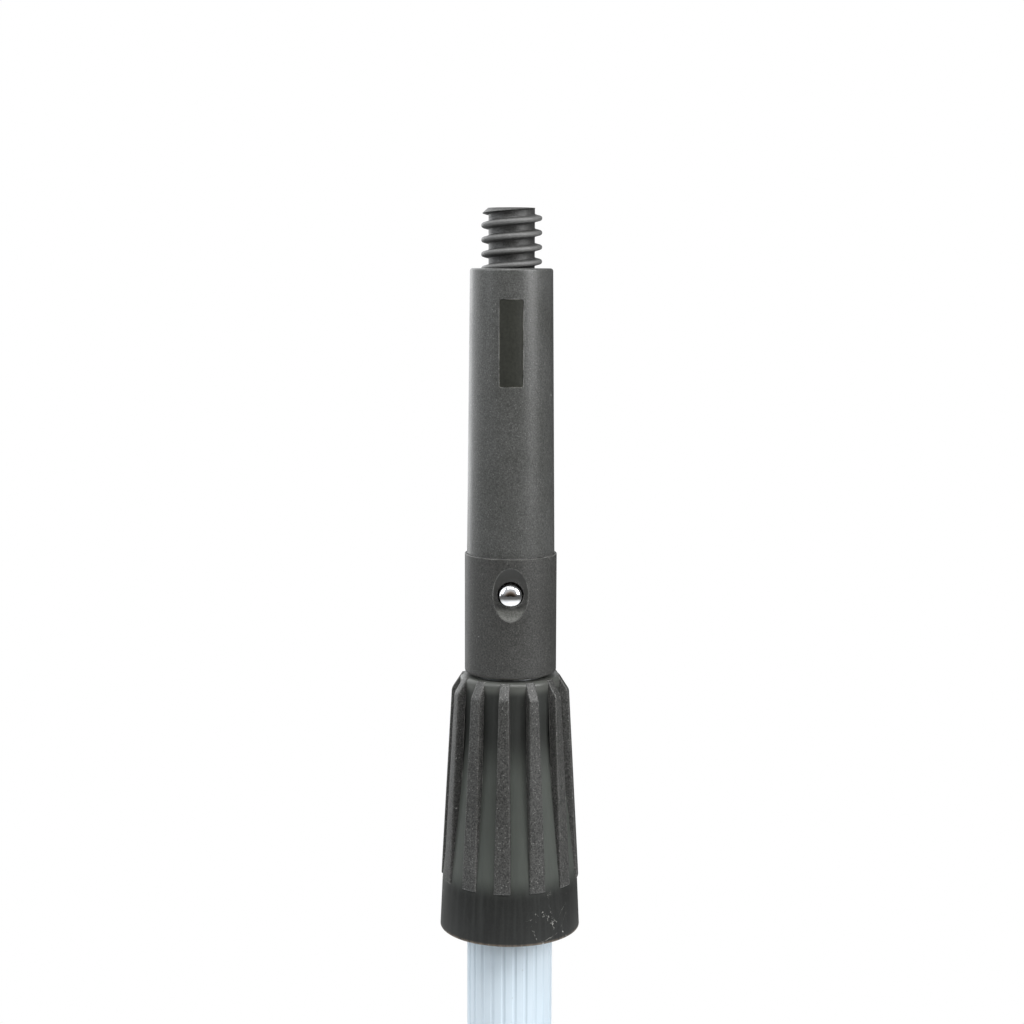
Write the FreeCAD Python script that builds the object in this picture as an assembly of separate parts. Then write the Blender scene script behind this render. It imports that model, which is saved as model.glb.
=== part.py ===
import FreeCAD
import Part

import math
import os

from FreeCAD import Vector

# A two-section telescopic window-cleaning pole, shown collapsed and locked.
#
# The lower section is a fluted aluminium tube with a rubber hand grip and an end cap. A plastic
# lock body is riveted on its upper end. A ribbed, tapered collar screws on the lock body: turned
# clockwise it pushes a compression ring over the lock body's spring fingers, which close on the
# inner tube. The inner tube carries a plastic socket on its upper end, and a tapered
# tip with a coarse thread for tools stands in the socket, held by a spring-loaded snap button.
#
# Millimetres. +Z runs up the pole, the origin is the centre of the end cap's flat foot, and the
# snap button faces -Y. Angles are degrees turned about +Z from the -Y side.

UP = Vector(0, 0, 1)
ORIGIN = Vector(0, 0, 0)

# ---- clearances ----
SEAT = 0.05            # between pieces of one section that are pushed or bonded together
RUNNING = 0.10         # between round faces that slide or turn on each other
LOOSE = 0.30           # between moving pieces that only pass each other
EMBED = 0.3            # how far a ridge's root is sunk into the core that it is joined to

# ---- lower section: fluted tube ----
OUTER_TUBE_LENGTH = 435.0
OUTER_TUBE_R = 15.5
OUTER_TUBE_WALL = 1.5
FLUTE_COUNT = 24
FLUTE_DEPTH = 0.40
FLUTE_R = 0.95
FLUTE_TURN = 6.7       # where the first flute stands
KEY_HEIGHT = 0.7       # two ribs inside the tube keep the inner tube from turning
KEY_WIDTH = 2.5

# ---- end cap and hand grip ----
FOOT_HEIGHT = 5.0
FOOT_R = 17.6
FOOT_EDGE = 1.2
CAP_PLUG_LENGTH = 25.0
CAP_PLUG_WALL = 2.4
CAP_RIVET_HEIGHT = 14.0
GRIP_LENGTH = 125.0
GRIP_R = 17.3
GRIP_BEAD_R = 18.3
GRIP_BEAD_HEIGHT = 6.0
GRIP_EDGE = 0.8

# ---- upper section: inner tube, its lower guide and its stop ----
INNER_TUBE_R = 12.5
INNER_TUBE_WALL = 1.3
INNER_TUBE_ABOVE_PLUG = 10.0    # from the end cap's plug to the inner tube, when collapsed
BUSH_FLANGE = 4.0
BUSH_SPIGOT_LENGTH = 22.0
BUSH_SPIGOT_WALL = 2.6
BUSH_PIN_R = 1.5
BUSH_PIN_HEIGHT = 11.0          # above the inner tube's lower end
STOP_SLEEVE_LENGTH = 60.0

# ---- lock: body, compression ring and collar ----
COLLAR_HEIGHT = 93.2
COLLAR_OVER_TUBE = 47.8         # how much of the outer tube the collar covers
COLLAR_FOOT_R = 25.35
COLLAR_SKIRT_WALL = 2.55
COLLAR_SKIRT_DEPTH = 10.8
COLLAR_SKIRT_DRAFT = 0.5        # how much the skirt's inside narrows upward
COLLAR_TOP_WALL = 4.0
COLLAR_RIM_EDGE = 0.6
COLLAR_BORE_ABOVE_THREAD = 12.0 # from the top of the lock body's thread to the taper under the pocket
GROOVE_FLOOR_R = 18.0           # the straight upper part of the grooves
GROOVE_KNEE = 20.0              # from the collar's top down to where the grooves flare out
GROOVE_KNEE_ROUND = 40.0
GROOVE_TOP_EDGE = 1.5
RIB_COUNT = 12
RIB_TURN = -6.3
RIB_END = 18.8                  # from the collar's foot up to where the ribs end
RIB_END_R = 24.97
RIB_SHOULDER_R = 21.15
RIB_TOP_R = 17.6
RIB_CHAMFER_HEIGHT = 5.5
RIB_TOP_WIDTH = 3.5
RIB_END_WIDTH = 6.1
RIB_STEP = 0.5                  # how far a rib's lower end stands out of the collar
RIB_EDGE = 0.4
RIB_SHOULDER_ROUND = 1.2
LOCK_PITCH = 3.0
LOCK_THREAD_R = 18.0            # core of the lock body's thread
LOCK_RIDGE_HEIGHT = 1.2
LOCK_RIDGE_ROOT = 1.5           # the ridge's width at its root and at its crest
LOCK_RIDGE_CREST = 0.7
LOCK_THREAD_CLEARANCE = 0.20
LOCK_TURN = 90.0                # from locked to free; the collar's groove is wide enough for all of it
LOCK_THREAD_LENGTH = 22.0
LOCK_THREAD_ABOVE_FOOT = 14.0   # from the collar's foot to the lock body's thread
LOCK_SLEEVE_BELOW_THREAD = 8.0
LOCK_RIVET_R = 1.6
LOCK_RIVET_BELOW_THREAD = 4.2
FINGER_COUNT = 6
FINGER_SLOT = 1.5
FINGER_BASE_R = 14.6
FINGER_TIP_R = 13.8
FINGER_LENGTH = 13.0
FINGER_SLOT_EXTRA = 4.0         # how far the slots run below the fingers' taper
RING_R = 16.0
RING_LENGTH = 12.0
RING_ROOM = 1.0                 # from the ring down to the foot of its pocket
RING_GAP = 0.2                  # between the ring's taper and the fingers'

# ---- socket on the inner tube ----
SOCKET_GAP = 0.95               # between the locked collar and the collapsed socket
SOCKET_LENGTH = 43.05
SOCKET_R = 16.4
SOCKET_LIP = 2.4
SOCKET_TOP_EDGE = 0.25
SOCKET_FOOT_EDGE = 1.3
DISH_R = 22.8                   # the finger dish round the button is part of a sphere
DISH_DEPTH = 2.1
SOCKET_RIVET_HEIGHT = 7.5
SOCKET_RIVET_R = 2.0
RIVET_HEAD_R = 3.3
RIVET_HEAD_HEIGHT = 0.9
RIVET_RECESS_R = 0.9

# ---- snap button and leaf spring ----
BUTTON_BELOW_SOCKET_TOP = 12.8
BUTTON_R = 4.0
BUTTON_OUT = 1.1                # from the socket's surface to where the button's dome begins
BUTTON_DOME = 2.0
BUTTON_DOME_EDGE = 0.5
BUTTON_HOLE_GAP = 0.35          # round the button in the tip and the inner tube
SOCKET_HOLE_R = 4.6
STEM_R = 1.4
STEM_HEAD_R = 2.6
STEM_HEAD_HEIGHT = 0.8
WASHER_R = 3.2
WASHER_THICKNESS = 0.4
SPRING_THICKNESS = 0.7
SPRING_WIDTH = 8.4
SPRING_GAP = 0.075856           # from the spring's corners to the bore: the arms' faces are 8.1 from the axis
SPRING_BEND_ABOVE_BUTTON = 13.0
SPRING_FRONT_ARM = 21.0
SPRING_BACK_ARM = 26.0

# ---- tool tip ----
TIP_LENGTH = 100.6              # from the socket to the shoulder under the thread
TIP_FOOT_R = 15.6
TIP_TOP_R = 14.6
TIP_TOP_EDGE = 1.0
SHANK_LENGTH = 30.0
SHANK_WALL = 1.9
SHANK_EDGE = 0.8
TIP_TOP_WALL = 14.0
TIP_CORE_CONE = 6.0
THREAD_CORE_HOLE_R = 3.5
THREAD_CORE_HOLE_TOP = 8.0      # solid plastic left above the hole in the thread
LABEL_BELOW_SHOULDER = 10.6
LABEL_HEIGHT = 30.3
LABEL_WIDTH = 8.3
LABEL_CORNER = 0.8
LABEL_RECESS = 0.6
LABEL_THICKNESS = 0.35
THREAD_LENGTH = 20.8
THREAD_PITCH = 5.0
THREAD_CORE_R = 8.1
THREAD_R = 10.67
THREAD_RIDGE_ROOT = 2.7
THREAD_RIDGE_CREST = 1.4
THREAD_CREST_ROUND = 0.35
THREAD_TOP_EDGE = 0.4
THREAD_RELIEF_DEPTH = 0.4       # a shallow channel in the shoulder, round the thread's foot
THREAD_RELIEF_GAP = 0.25        # from the thread's crest to the channel's outer wall
THREAD_RISE = 2.3               # height of the ridge above the shoulder on the +X side

# ---- heights that follow from the sizes above ----
TUBE_FOOT = FOOT_HEIGHT
TUBE_TOP = TUBE_FOOT + OUTER_TUBE_LENGTH
TUBE_BORE_R = OUTER_TUBE_R - OUTER_TUBE_WALL
PLUG_TOP = TUBE_FOOT + CAP_PLUG_LENGTH
INNER_FOOT = PLUG_TOP + INNER_TUBE_ABOVE_PLUG
INNER_BORE_R = INNER_TUBE_R - INNER_TUBE_WALL
COLLAR_FOOT = TUBE_TOP - COLLAR_OVER_TUBE
COLLAR_TOP = COLLAR_FOOT + COLLAR_HEIGHT
COLLAR_CEILING = COLLAR_TOP - COLLAR_TOP_WALL
SOCKET_FOOT = COLLAR_TOP + SOCKET_GAP
SOCKET_TOP = SOCKET_FOOT + SOCKET_LENGTH
INNER_TOP = SOCKET_TOP - SOCKET_LIP
BUTTON_Z = SOCKET_TOP - BUTTON_BELOW_SOCKET_TOP
SHOULDER = SOCKET_TOP + TIP_LENGTH
THREAD_TOP = SHOULDER + THREAD_LENGTH
LOCK_THREAD_FOOT = COLLAR_FOOT + LOCK_THREAD_ABOVE_FOOT
LOCK_THREAD_TOP = LOCK_THREAD_FOOT + LOCK_THREAD_LENGTH
FINGER_TOP = COLLAR_CEILING - 2 * LOOSE - SEAT
FINGER_FOOT = FINGER_TOP - FINGER_LENGTH
RING_TOP = COLLAR_CEILING - LOOSE
RING_FOOT = RING_TOP - RING_LENGTH
SHANK_R = INNER_BORE_R - RUNNING
SHANK_BORE_R = SHANK_R - SHANK_WALL
SPRING_Y = math.sqrt((SHANK_BORE_R - SPRING_GAP) ** 2 - (SPRING_WIDTH / 2) ** 2)
CAP_RIVET_Z = TUBE_FOOT + CAP_RIVET_HEIGHT
LOCK_RIVET_Z = LOCK_THREAD_FOOT - LOCK_RIVET_BELOW_THREAD
BUSH_PIN_Z = INNER_FOOT + BUSH_PIN_HEIGHT
SOCKET_RIVET_Z = SOCKET_FOOT + SOCKET_RIVET_HEIGHT


def at(turn, r, z):
    """The point at radius r and height z, turned from the -Y side."""
    a = math.radians(turn)
    return Vector(r * math.sin(a), -r * math.cos(a), z)


def revolved(outline):
    """A solid of revolution from points (radius, height)."""
    corners = [Vector(r, 0, z) for r, z in outline]
    wire = Part.makePolygon(corners + corners[:1])
    return Part.Face(wire).revolve(ORIGIN, UP, 360)


def revolved_with_arc(before, arc, after):
    """A solid of revolution whose outline runs through points, then an arc of three points, then points."""
    before, arc, after = ([Vector(r, 0, z) for r, z in part] for part in (before, arc, after))
    curve = Part.Arc(*arc).toShape()
    straight = Part.makePolygon(arc[2:] + after + before + arc[:1])
    wire = Part.Wire([curve] + straight.Edges)
    return Part.Face(wire).revolve(ORIGIN, UP, 360)


def tube(r_in, r_out, foot, top):
    """A plain round tube."""
    return revolved([(r_in, foot), (r_out, foot), (r_out, top), (r_in, top)])


def rod(turn, z, r, start, end):
    """A round rod that runs out along a radius of the pole."""
    return Part.makeCylinder(r, end - start, at(turn, start, z), at(turn, 1, 0))


def block(x, y, z):
    """A box from three (low, high) pairs."""
    size = [high - low for low, high in (x, y, z)]
    return Part.makeBox(*size, Vector(x[0], y[0], z[0]))


def around(shape, count, first=0.0):
    """Copies of a shape, evenly spaced about the pole."""
    copies = []
    for i in range(count):
        copy = shape.copy()
        copy.rotate(ORIGIN, UP, first + 360.0 * i / count)
        copies.append(copy)
    return copies


def circles(shape, r, z):
    """The circular edges of a shape at radius r about the pole and height z."""
    near = 1e-4
    return [
        e
        for e in shape.Edges
        if isinstance(e.Curve, Part.Circle)
        and abs(e.Curve.Radius - r) < near
        and abs(e.Curve.Center.z - z) < near
        and abs(e.Curve.Center.x) + abs(e.Curve.Center.y) < near
    ]


def helical_ridge(pitch, core_r, ridge_r, root, crest, foot, top, crest_round=0.0):
    """A right-hand helical ridge about Z that crosses the +X side at height foot."""
    height = top - foot
    line = Part.makeHelix(pitch, height, core_r)
    slope = 0.5 * (root - crest) / (ridge_r - core_r)
    low = core_r - EMBED
    shoulder = ridge_r - crest_round
    points = [
        Vector(low, 0, -0.5 * root - EMBED * slope),
        Vector(shoulder, 0, -0.5 * crest - crest_round * slope),
        Vector(shoulder, 0, 0.5 * crest + crest_round * slope),
        Vector(low, 0, 0.5 * root + EMBED * slope),
    ]
    edges = [Part.LineSegment(points[i], points[(i + 1) % 4]).toShape() for i in (0, 2, 3)]
    if crest_round:
        nose = Part.Arc(points[1], Vector(ridge_r, 0, 0), points[2]).toShape()
    else:
        nose = Part.LineSegment(points[1], points[2]).toShape()
    section = Part.Wire([edges[0], nose, edges[1], edges[2]])
    ridge = line.makePipeShell([section], True, True)
    ridge.translate(Vector(0, 0, foot))
    return ridge


# ---------------------------------------------------------------- lower section

def outer_tube():
    """Extruded tube with shallow flutes outside, two key ribs inside, and holes for the rivets."""
    disc = Part.Face(Part.Wire(Part.makeCircle(OUTER_TUBE_R, ORIGIN)))
    bore = Part.Face(Part.Wire(Part.makeCircle(TUBE_BORE_R, ORIGIN)))
    key_reach = TUBE_BORE_R - KEY_HEIGHT
    for key in around(block((key_reach, TUBE_BORE_R + 1), (-KEY_WIDTH / 2, KEY_WIDTH / 2), (-1, 1)), 2):
        bore = bore.cut(key)
    centre = at(0, OUTER_TUBE_R - FLUTE_DEPTH + FLUTE_R, 0)
    flute = Part.Face(Part.Wire(Part.makeCircle(FLUTE_R, centre)))
    section = disc.cut(bore).cut(around(flute, FLUTE_COUNT, FLUTE_TURN))
    body = section.Faces[0].extrude(UP * OUTER_TUBE_LENGTH)
    body.translate(Vector(0, 0, TUBE_FOOT))
    holes = [
        rod(turn, z, LOCK_RIVET_R, 0, COLLAR_FOOT_R) for turn in (0, 180) for z in (CAP_RIVET_Z, LOCK_RIVET_Z)
    ]
    return body.cut(holes)


def key_slots(foot, top):
    """Two boxes that clear the outer tube's key ribs."""
    reach = TUBE_BORE_R - KEY_HEIGHT - RUNNING
    half = KEY_WIDTH / 2 + RUNNING
    return around(block((reach, OUTER_TUBE_R), (-half, half), (foot, top)), 2)


def end_cap():
    """Moulded cap: a flat foot and a hollow plug that is pushed into the outer tube."""
    plug_r = TUBE_BORE_R - SEAT
    cap = revolved([
        (0, 0), (FOOT_R, 0), (FOOT_R, TUBE_FOOT), (plug_r, TUBE_FOOT), (plug_r, PLUG_TOP),
        (plug_r - CAP_PLUG_WALL, PLUG_TOP), (plug_r - CAP_PLUG_WALL, TUBE_FOOT), (0, TUBE_FOOT),
    ])
    cap = cap.makeFillet(FOOT_EDGE, circles(cap, FOOT_R, 0) + circles(cap, FOOT_R, TUBE_FOOT))
    cap = cap.cut(key_slots(TUBE_FOOT, PLUG_TOP))
    return cap.cut([rod(turn, CAP_RIVET_Z, LOCK_RIVET_R, 0, OUTER_TUBE_R) for turn in (0, 180)])


def flush_rivets(z, r_in, r_out):
    """Two flush rivets, front and back, whose ends follow the faces they lie in."""
    band = tube(r_in, r_out, z - 2 * LOCK_RIVET_R, z + 2 * LOCK_RIVET_R)
    return Part.makeCompound([rod(turn, z, LOCK_RIVET_R, 0, r_out + 1).common(band) for turn in (0, 180)])


def end_cap_rivets():
    """Hold the end cap's plug in the tube, under the hand grip."""
    plug_bore = TUBE_BORE_R - SEAT - CAP_PLUG_WALL
    return flush_rivets(CAP_RIVET_Z, plug_bore, OUTER_TUBE_R - FLUTE_DEPTH)


def hand_grip():
    """Rubber sleeve on the outer tube, with a bead at each end."""
    foot = TUBE_FOOT + SEAT
    top = foot + GRIP_LENGTH
    bore = OUTER_TUBE_R + SEAT
    flare = GRIP_BEAD_R - GRIP_R
    grip = revolved([
        (bore, foot), (GRIP_BEAD_R, foot), (GRIP_BEAD_R, foot + GRIP_BEAD_HEIGHT),
        (GRIP_R, foot + GRIP_BEAD_HEIGHT + flare), (GRIP_R, top - GRIP_BEAD_HEIGHT - flare),
        (GRIP_BEAD_R, top - GRIP_BEAD_HEIGHT), (GRIP_BEAD_R, top), (bore, top),
    ])
    rims = circles(grip, GRIP_BEAD_R, foot) + circles(grip, GRIP_BEAD_R, top)
    return grip.makeFillet(GRIP_EDGE, rims)


# ---------------------------------------------------------------- lock

def finger_r(z):
    """Outer radius of the spring fingers, which narrow towards their tips."""
    share = (z - FINGER_FOOT) / FINGER_LENGTH
    return FINGER_BASE_R + share * (FINGER_TIP_R - FINGER_BASE_R)


def groove_floor_r(z):
    """Radius of the collar at the bottom of its grooves: straight, then flaring to the ribs' ends."""
    knee = COLLAR_TOP - GROOVE_KNEE
    end = COLLAR_FOOT + RIB_END
    share = max(0.0, (knee - z) / (knee - end))
    return GROOVE_FLOOR_R + share * (RIB_END_R - RIB_STEP - GROOVE_FLOOR_R)


def groove_knee():
    """Three points of the arc that leads the groove floor from its flare into its straight part."""
    knee = COLLAR_TOP - GROOVE_KNEE
    end = COLLAR_FOOT + RIB_END
    flare = math.atan((groove_floor_r(end) - GROOVE_FLOOR_R) / (knee - end))
    reach = GROOVE_KNEE_ROUND * math.tan(flare / 2)
    centre_r = GROOVE_FLOOR_R + GROOVE_KNEE_ROUND
    points = []
    for angle in (flare, flare / 2, 0):
        points.append((
            centre_r - GROOVE_KNEE_ROUND * math.cos(angle),
            knee + reach - GROOVE_KNEE_ROUND * math.sin(angle),
        ))
    return points


COLLAR_BORE_R = LOCK_THREAD_R + LOCK_THREAD_CLEARANCE
COLLAR_POCKET_R = RING_R + RUNNING + SEAT
COLLAR_POCKET_FOOT = RING_FOOT - RING_ROOM
COLLAR_BORE_TOP = LOCK_THREAD_TOP + COLLAR_BORE_ABOVE_THREAD


def lock_body():
    """Riveted on the tube's end: a threaded sleeve, a neck, and slotted fingers round the inner tube."""
    foot = LOCK_THREAD_FOOT - LOCK_SLEEVE_BELOW_THREAD
    over_tube = OUTER_TUBE_R + SEAT
    over_inner = INNER_TUBE_R + RUNNING
    neck_r = COLLAR_POCKET_R - LOOSE
    body = revolved([
        (over_tube, foot), (LOCK_THREAD_R, foot), (LOCK_THREAD_R, COLLAR_BORE_TOP - LOOSE),
        (neck_r, FINGER_FOOT), (FINGER_BASE_R, FINGER_FOOT), (FINGER_TIP_R, FINGER_TOP),
        (over_inner, FINGER_TOP), (over_inner, TUBE_TOP), (over_tube, TUBE_TOP),
    ])
    ridge = helical_ridge(
        LOCK_PITCH, LOCK_THREAD_R, LOCK_THREAD_R + LOCK_RIDGE_HEIGHT, LOCK_RIDGE_ROOT, LOCK_RIDGE_CREST,
        LOCK_THREAD_FOOT - LOCK_PITCH, LOCK_THREAD_TOP + LOCK_PITCH,
    )
    height = LOCK_THREAD_TOP - LOCK_THREAD_FOOT
    ridge = ridge.common(Part.makeCylinder(COLLAR_FOOT_R, height, Vector(0, 0, LOCK_THREAD_FOOT)))
    body = body.fuse(ridge)
    half = FINGER_SLOT / 2
    slot = block((-half, half), (-RING_R, 0), (FINGER_FOOT - FINGER_SLOT_EXTRA, FINGER_TOP + 1))
    body = body.cut(around(slot, FINGER_COUNT))
    return body.cut([rod(turn, LOCK_RIVET_Z, LOCK_RIVET_R, 0, COLLAR_FOOT_R) for turn in (0, 180)])


def lock_body_rivets():
    """Hold the lock body on the tube, flush with the tube's bore and the lock body's sleeve."""
    return flush_rivets(LOCK_RIVET_Z, TUBE_BORE_R + SEAT, LOCK_THREAD_R)


def lock_ring():
    """Compression ring: lies under the collar's top wall and wedges the fingers inward."""
    return revolved([
        (finger_r(RING_FOOT) + RING_GAP, RING_FOOT), (RING_R, RING_FOOT), (RING_R, RING_TOP),
        (finger_r(RING_TOP) + RING_GAP, RING_TOP),
    ])


def collar_rib():
    """One rib of the collar, on the -Y side: a wedge cut from a cone, with a chamfered top."""
    end = COLLAR_FOOT + RIB_END
    shoulder = COLLAR_TOP - RIB_CHAMFER_HEIGHT
    core = GROOVE_FLOOR_R - 1.0
    cone = revolved([
        (core, end), (RIB_END_R, end), (RIB_SHOULDER_R, shoulder),
        (RIB_TOP_R, COLLAR_TOP), (core, COLLAR_TOP),
    ])
    cone = cone.makeFillet(RIB_SHOULDER_ROUND, circles(cone, RIB_SHOULDER_R, shoulder))
    low, high = RIB_END_WIDTH / 2, RIB_TOP_WIDTH / 2
    front = [(-low, end), (low, end), (high, COLLAR_TOP), (-high, COLLAR_TOP)]
    corners = [Vector(x, 0, z) for x, z in front]
    wedge = Part.Face(Part.makePolygon(corners + corners[:1])).extrude(Vector(0, -COLLAR_FOOT_R - 1, 0))
    rib = cone.common(wedge)
    outside = RIB_TOP_R - 0.5
    long_edges = [
        e for e in rib.Edges
        if all(v.Point.y < -outside + 1 for v in e.Vertexes) and e.CenterOfMass.y < -outside
        and abs(e.Vertexes[0].Point.z - e.Vertexes[-1].Point.z) > 1
    ]
    return rib.makeFillet(RIB_EDGE, long_edges)


def lock_collar():
    """The ribbed hand collar: grooves that run out in a plain skirt, an inside thread, and a ring pocket."""
    end = COLLAR_FOOT + RIB_END
    opening = INNER_TUBE_R + 2 * LOOSE + RUNNING
    collar = revolved_with_arc(
        [(opening, COLLAR_FOOT), (COLLAR_FOOT_R, COLLAR_FOOT), (groove_floor_r(end), end)],
        groove_knee(),
        [(GROOVE_FLOOR_R, COLLAR_TOP), (opening, COLLAR_TOP)],
    )
    collar = collar.makeFillet(GROOVE_TOP_EDGE, circles(collar, GROOVE_FLOOR_R, COLLAR_TOP))
    collar = collar.makeFillet(COLLAR_RIM_EDGE, circles(collar, COLLAR_FOOT_R, COLLAR_FOOT))
    collar = collar.fuse(around(collar_rib(), RIB_COUNT, RIB_TURN))
    skirt_top = COLLAR_FOOT + COLLAR_SKIRT_DEPTH
    skirt_r = COLLAR_FOOT_R - COLLAR_SKIRT_WALL
    hollow = revolved([
        (0, COLLAR_FOOT - 1), (skirt_r, COLLAR_FOOT - 1), (skirt_r, COLLAR_FOOT),
        (skirt_r - COLLAR_SKIRT_DRAFT, skirt_top), (COLLAR_BORE_R, skirt_top), (COLLAR_BORE_R, COLLAR_BORE_TOP), (COLLAR_POCKET_R, COLLAR_POCKET_FOOT),
        (COLLAR_POCKET_R, COLLAR_CEILING), (0, COLLAR_CEILING),
    ])
    collar = collar.cut(hollow)
    play = LOCK_PITCH * LOCK_TURN / 360
    widening = 2 * LOCK_THREAD_CLEARANCE + play
    groove = helical_ridge(
        LOCK_PITCH, COLLAR_BORE_R, COLLAR_BORE_R + LOCK_RIDGE_HEIGHT,
        LOCK_RIDGE_ROOT + widening, LOCK_RIDGE_CREST + widening,
        LOCK_THREAD_FOOT - 2 * LOCK_PITCH + play / 2, LOCK_THREAD_TOP + 2 * LOCK_PITCH,
    )
    height = LOCK_THREAD_TOP + LOCK_PITCH - skirt_top
    groove = groove.common(Part.makeCylinder(COLLAR_FOOT_R, height, Vector(0, 0, skirt_top)))
    return collar.cut(groove)


# ---------------------------------------------------------------- upper section

def inner_tube():
    """Plain tube with a hole for the button, one for the socket's rivet and two for the bush's pin."""
    body = tube(INNER_BORE_R, INNER_TUBE_R, INNER_FOOT, INNER_TOP)
    body = body.cut(rod(0, BUTTON_Z, BUTTON_R + BUTTON_HOLE_GAP, 0, SOCKET_R))
    body = body.cut(rod(180, SOCKET_RIVET_Z, SOCKET_RIVET_R, 0, SOCKET_R))
    return body.cut(rod(0, BUSH_PIN_Z, BUSH_PIN_R, -SOCKET_R, SOCKET_R))


def guide_bush():
    """Plug in the inner tube's lower end, with a flange that runs in the outer tube."""
    foot = INNER_FOOT - BUSH_FLANGE
    top = INNER_FOOT + BUSH_SPIGOT_LENGTH
    spigot_r = INNER_BORE_R - SEAT
    bore = spigot_r - BUSH_SPIGOT_WALL
    bush = revolved([
        (bore, foot), (TUBE_BORE_R - 2 * RUNNING, foot), (TUBE_BORE_R - 2 * RUNNING, INNER_FOOT),
        (spigot_r, INNER_FOOT), (spigot_r, top), (bore, top),
    ])
    bush = bush.cut(key_slots(foot, INNER_FOOT))
    return bush.cut(rod(0, BUSH_PIN_Z, BUSH_PIN_R, -SOCKET_R, SOCKET_R))


def guide_bush_pin():
    """Cross pin through the inner tube and the guide bush, flush with the tube."""
    pin = rod(0, BUSH_PIN_Z, BUSH_PIN_R, -SOCKET_R, SOCKET_R)
    foot = Vector(0, 0, BUSH_PIN_Z - 2 * BUSH_PIN_R)
    return pin.common(Part.makeCylinder(INNER_TUBE_R, 4 * BUSH_PIN_R, foot))


def stop_sleeve():
    """Plastic sleeve round the inner tube: meets the lock body and stops the tube pulling out."""
    top = INNER_FOOT + STOP_SLEEVE_LENGTH
    sleeve = tube(INNER_TUBE_R + SEAT, TUBE_BORE_R - 2 * RUNNING, INNER_FOOT, top)
    return sleeve.cut(key_slots(INNER_FOOT, top))


def socket():
    """Sleeve on the inner tube's upper end, with a finger dish and a hole for the button."""
    lip_r = INNER_BORE_R
    over_tube = INNER_TUBE_R + SEAT
    body = revolved([
        (over_tube, SOCKET_FOOT), (SOCKET_R, SOCKET_FOOT), (SOCKET_R, SOCKET_TOP), (lip_r, SOCKET_TOP),
        (lip_r, INNER_TOP), (over_tube, INNER_TOP),
    ])
    body = body.makeFillet(SOCKET_FOOT_EDGE, circles(body, SOCKET_R, SOCKET_FOOT))
    body = body.makeChamfer(SOCKET_TOP_EDGE, circles(body, SOCKET_R, SOCKET_TOP))
    dish = Part.makeSphere(DISH_R, at(0, SOCKET_R - DISH_DEPTH + DISH_R, BUTTON_Z))
    body = body.cut([dish, rod(0, BUTTON_Z, SOCKET_HOLE_R, 0, SOCKET_R)])
    return body.cut(rod(180, SOCKET_RIVET_Z, SOCKET_RIVET_R, 0, SOCKET_R + 1))


def socket_rivet():
    """Domed rivet at the back of the socket, through its wall and the inner tube's."""
    z = SOCKET_RIVET_Z
    shank = rod(180, z, SOCKET_RIVET_R, INNER_BORE_R, SOCKET_R + 0.1)
    dome_r = (RIVET_HEAD_R ** 2 + RIVET_HEAD_HEIGHT ** 2) / (2 * RIVET_HEAD_HEIGHT)
    dome = Part.makeSphere(dome_r, at(180, SOCKET_R + RIVET_HEAD_HEIGHT - dome_r, z))
    head = dome.common(rod(180, z, RIVET_HEAD_R, SOCKET_R - 1.0, SOCKET_R + 2.0))
    head = head.cut(Part.makeCylinder(SOCKET_R, 40, Vector(0, 0, z - 20)))
    rivet = shank.fuse(head)
    return rivet.cut(rod(180, z, RIVET_RECESS_R, SOCKET_R, SOCKET_R + 2.0))


def snap_button():
    """Domed button whose stem goes through the leaf spring and is headed over behind it."""
    base = SPRING_Y
    rim = SOCKET_R + BUTTON_OUT
    body = rod(0, BUTTON_Z, BUTTON_R, base, rim + BUTTON_DOME)
    dome_r = (BUTTON_R ** 2 + BUTTON_DOME ** 2) / (2 * BUTTON_DOME)
    ball = Part.makeSphere(dome_r, at(0, rim + BUTTON_DOME - dome_r, BUTTON_Z))
    body = body.common(ball.fuse(rod(0, BUTTON_Z, BUTTON_R, base, rim)))
    rims = [
        e for e in body.Edges
        if isinstance(e.Curve, Part.Circle) and abs(e.Curve.Center.y + rim) < 0.01
    ]
    body = body.makeFillet(BUTTON_DOME_EDGE, rims)
    back = base - SPRING_THICKNESS - WASHER_THICKNESS
    stem = rod(0, BUTTON_Z, STEM_R, back - STEM_HEAD_HEIGHT, base)
    head = rod(0, BUTTON_Z, STEM_HEAD_R, back - STEM_HEAD_HEIGHT, back)
    return body.fuse([stem, head]).removeSplitter()


def button_washer():
    """Washer between the leaf spring and the button's headed stem."""
    face = SPRING_Y - SPRING_THICKNESS
    washer = rod(0, BUTTON_Z, WASHER_R, face - WASHER_THICKNESS, face)
    return washer.cut(rod(0, BUTTON_Z, STEM_R + SEAT, 0, SPRING_Y))


def leaf_spring():
    """Bent steel strip inside the tip: its front arm carries the button, its back arm bears on the wall."""
    bend = BUTTON_Z + SPRING_BEND_ABOVE_BUTTON
    inner = SPRING_Y - SPRING_THICKNESS
    half = SPRING_WIDTH / 2
    front = block((-half, half), (-SPRING_Y, -inner), (bend - SPRING_FRONT_ARM, bend))
    back = block((-half, half), (inner, SPRING_Y), (bend - SPRING_BACK_ARM, bend))
    across = Vector(1, 0, 0)
    start = Vector(-half, 0, bend)
    bow = Part.makeCylinder(SPRING_Y, SPRING_WIDTH, start, across).cut(
        Part.makeCylinder(inner, SPRING_WIDTH, start, across)
    )
    bow = bow.common(block((-half, half), (-SPRING_Y, SPRING_Y), (bend, bend + SPRING_Y)))
    strip = front.fuse([back, bow]).removeSplitter()
    return strip.cut(rod(0, BUTTON_Z, STEM_R + SEAT, 0, SPRING_Y + 1))


def barrel(inset):
    """The tip's tapered outside, taken in by inset."""
    return revolved([
        (0, SOCKET_TOP), (TIP_FOOT_R - inset, SOCKET_TOP), (TIP_TOP_R - inset, SHOULDER), (0, SHOULDER),
    ])


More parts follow.
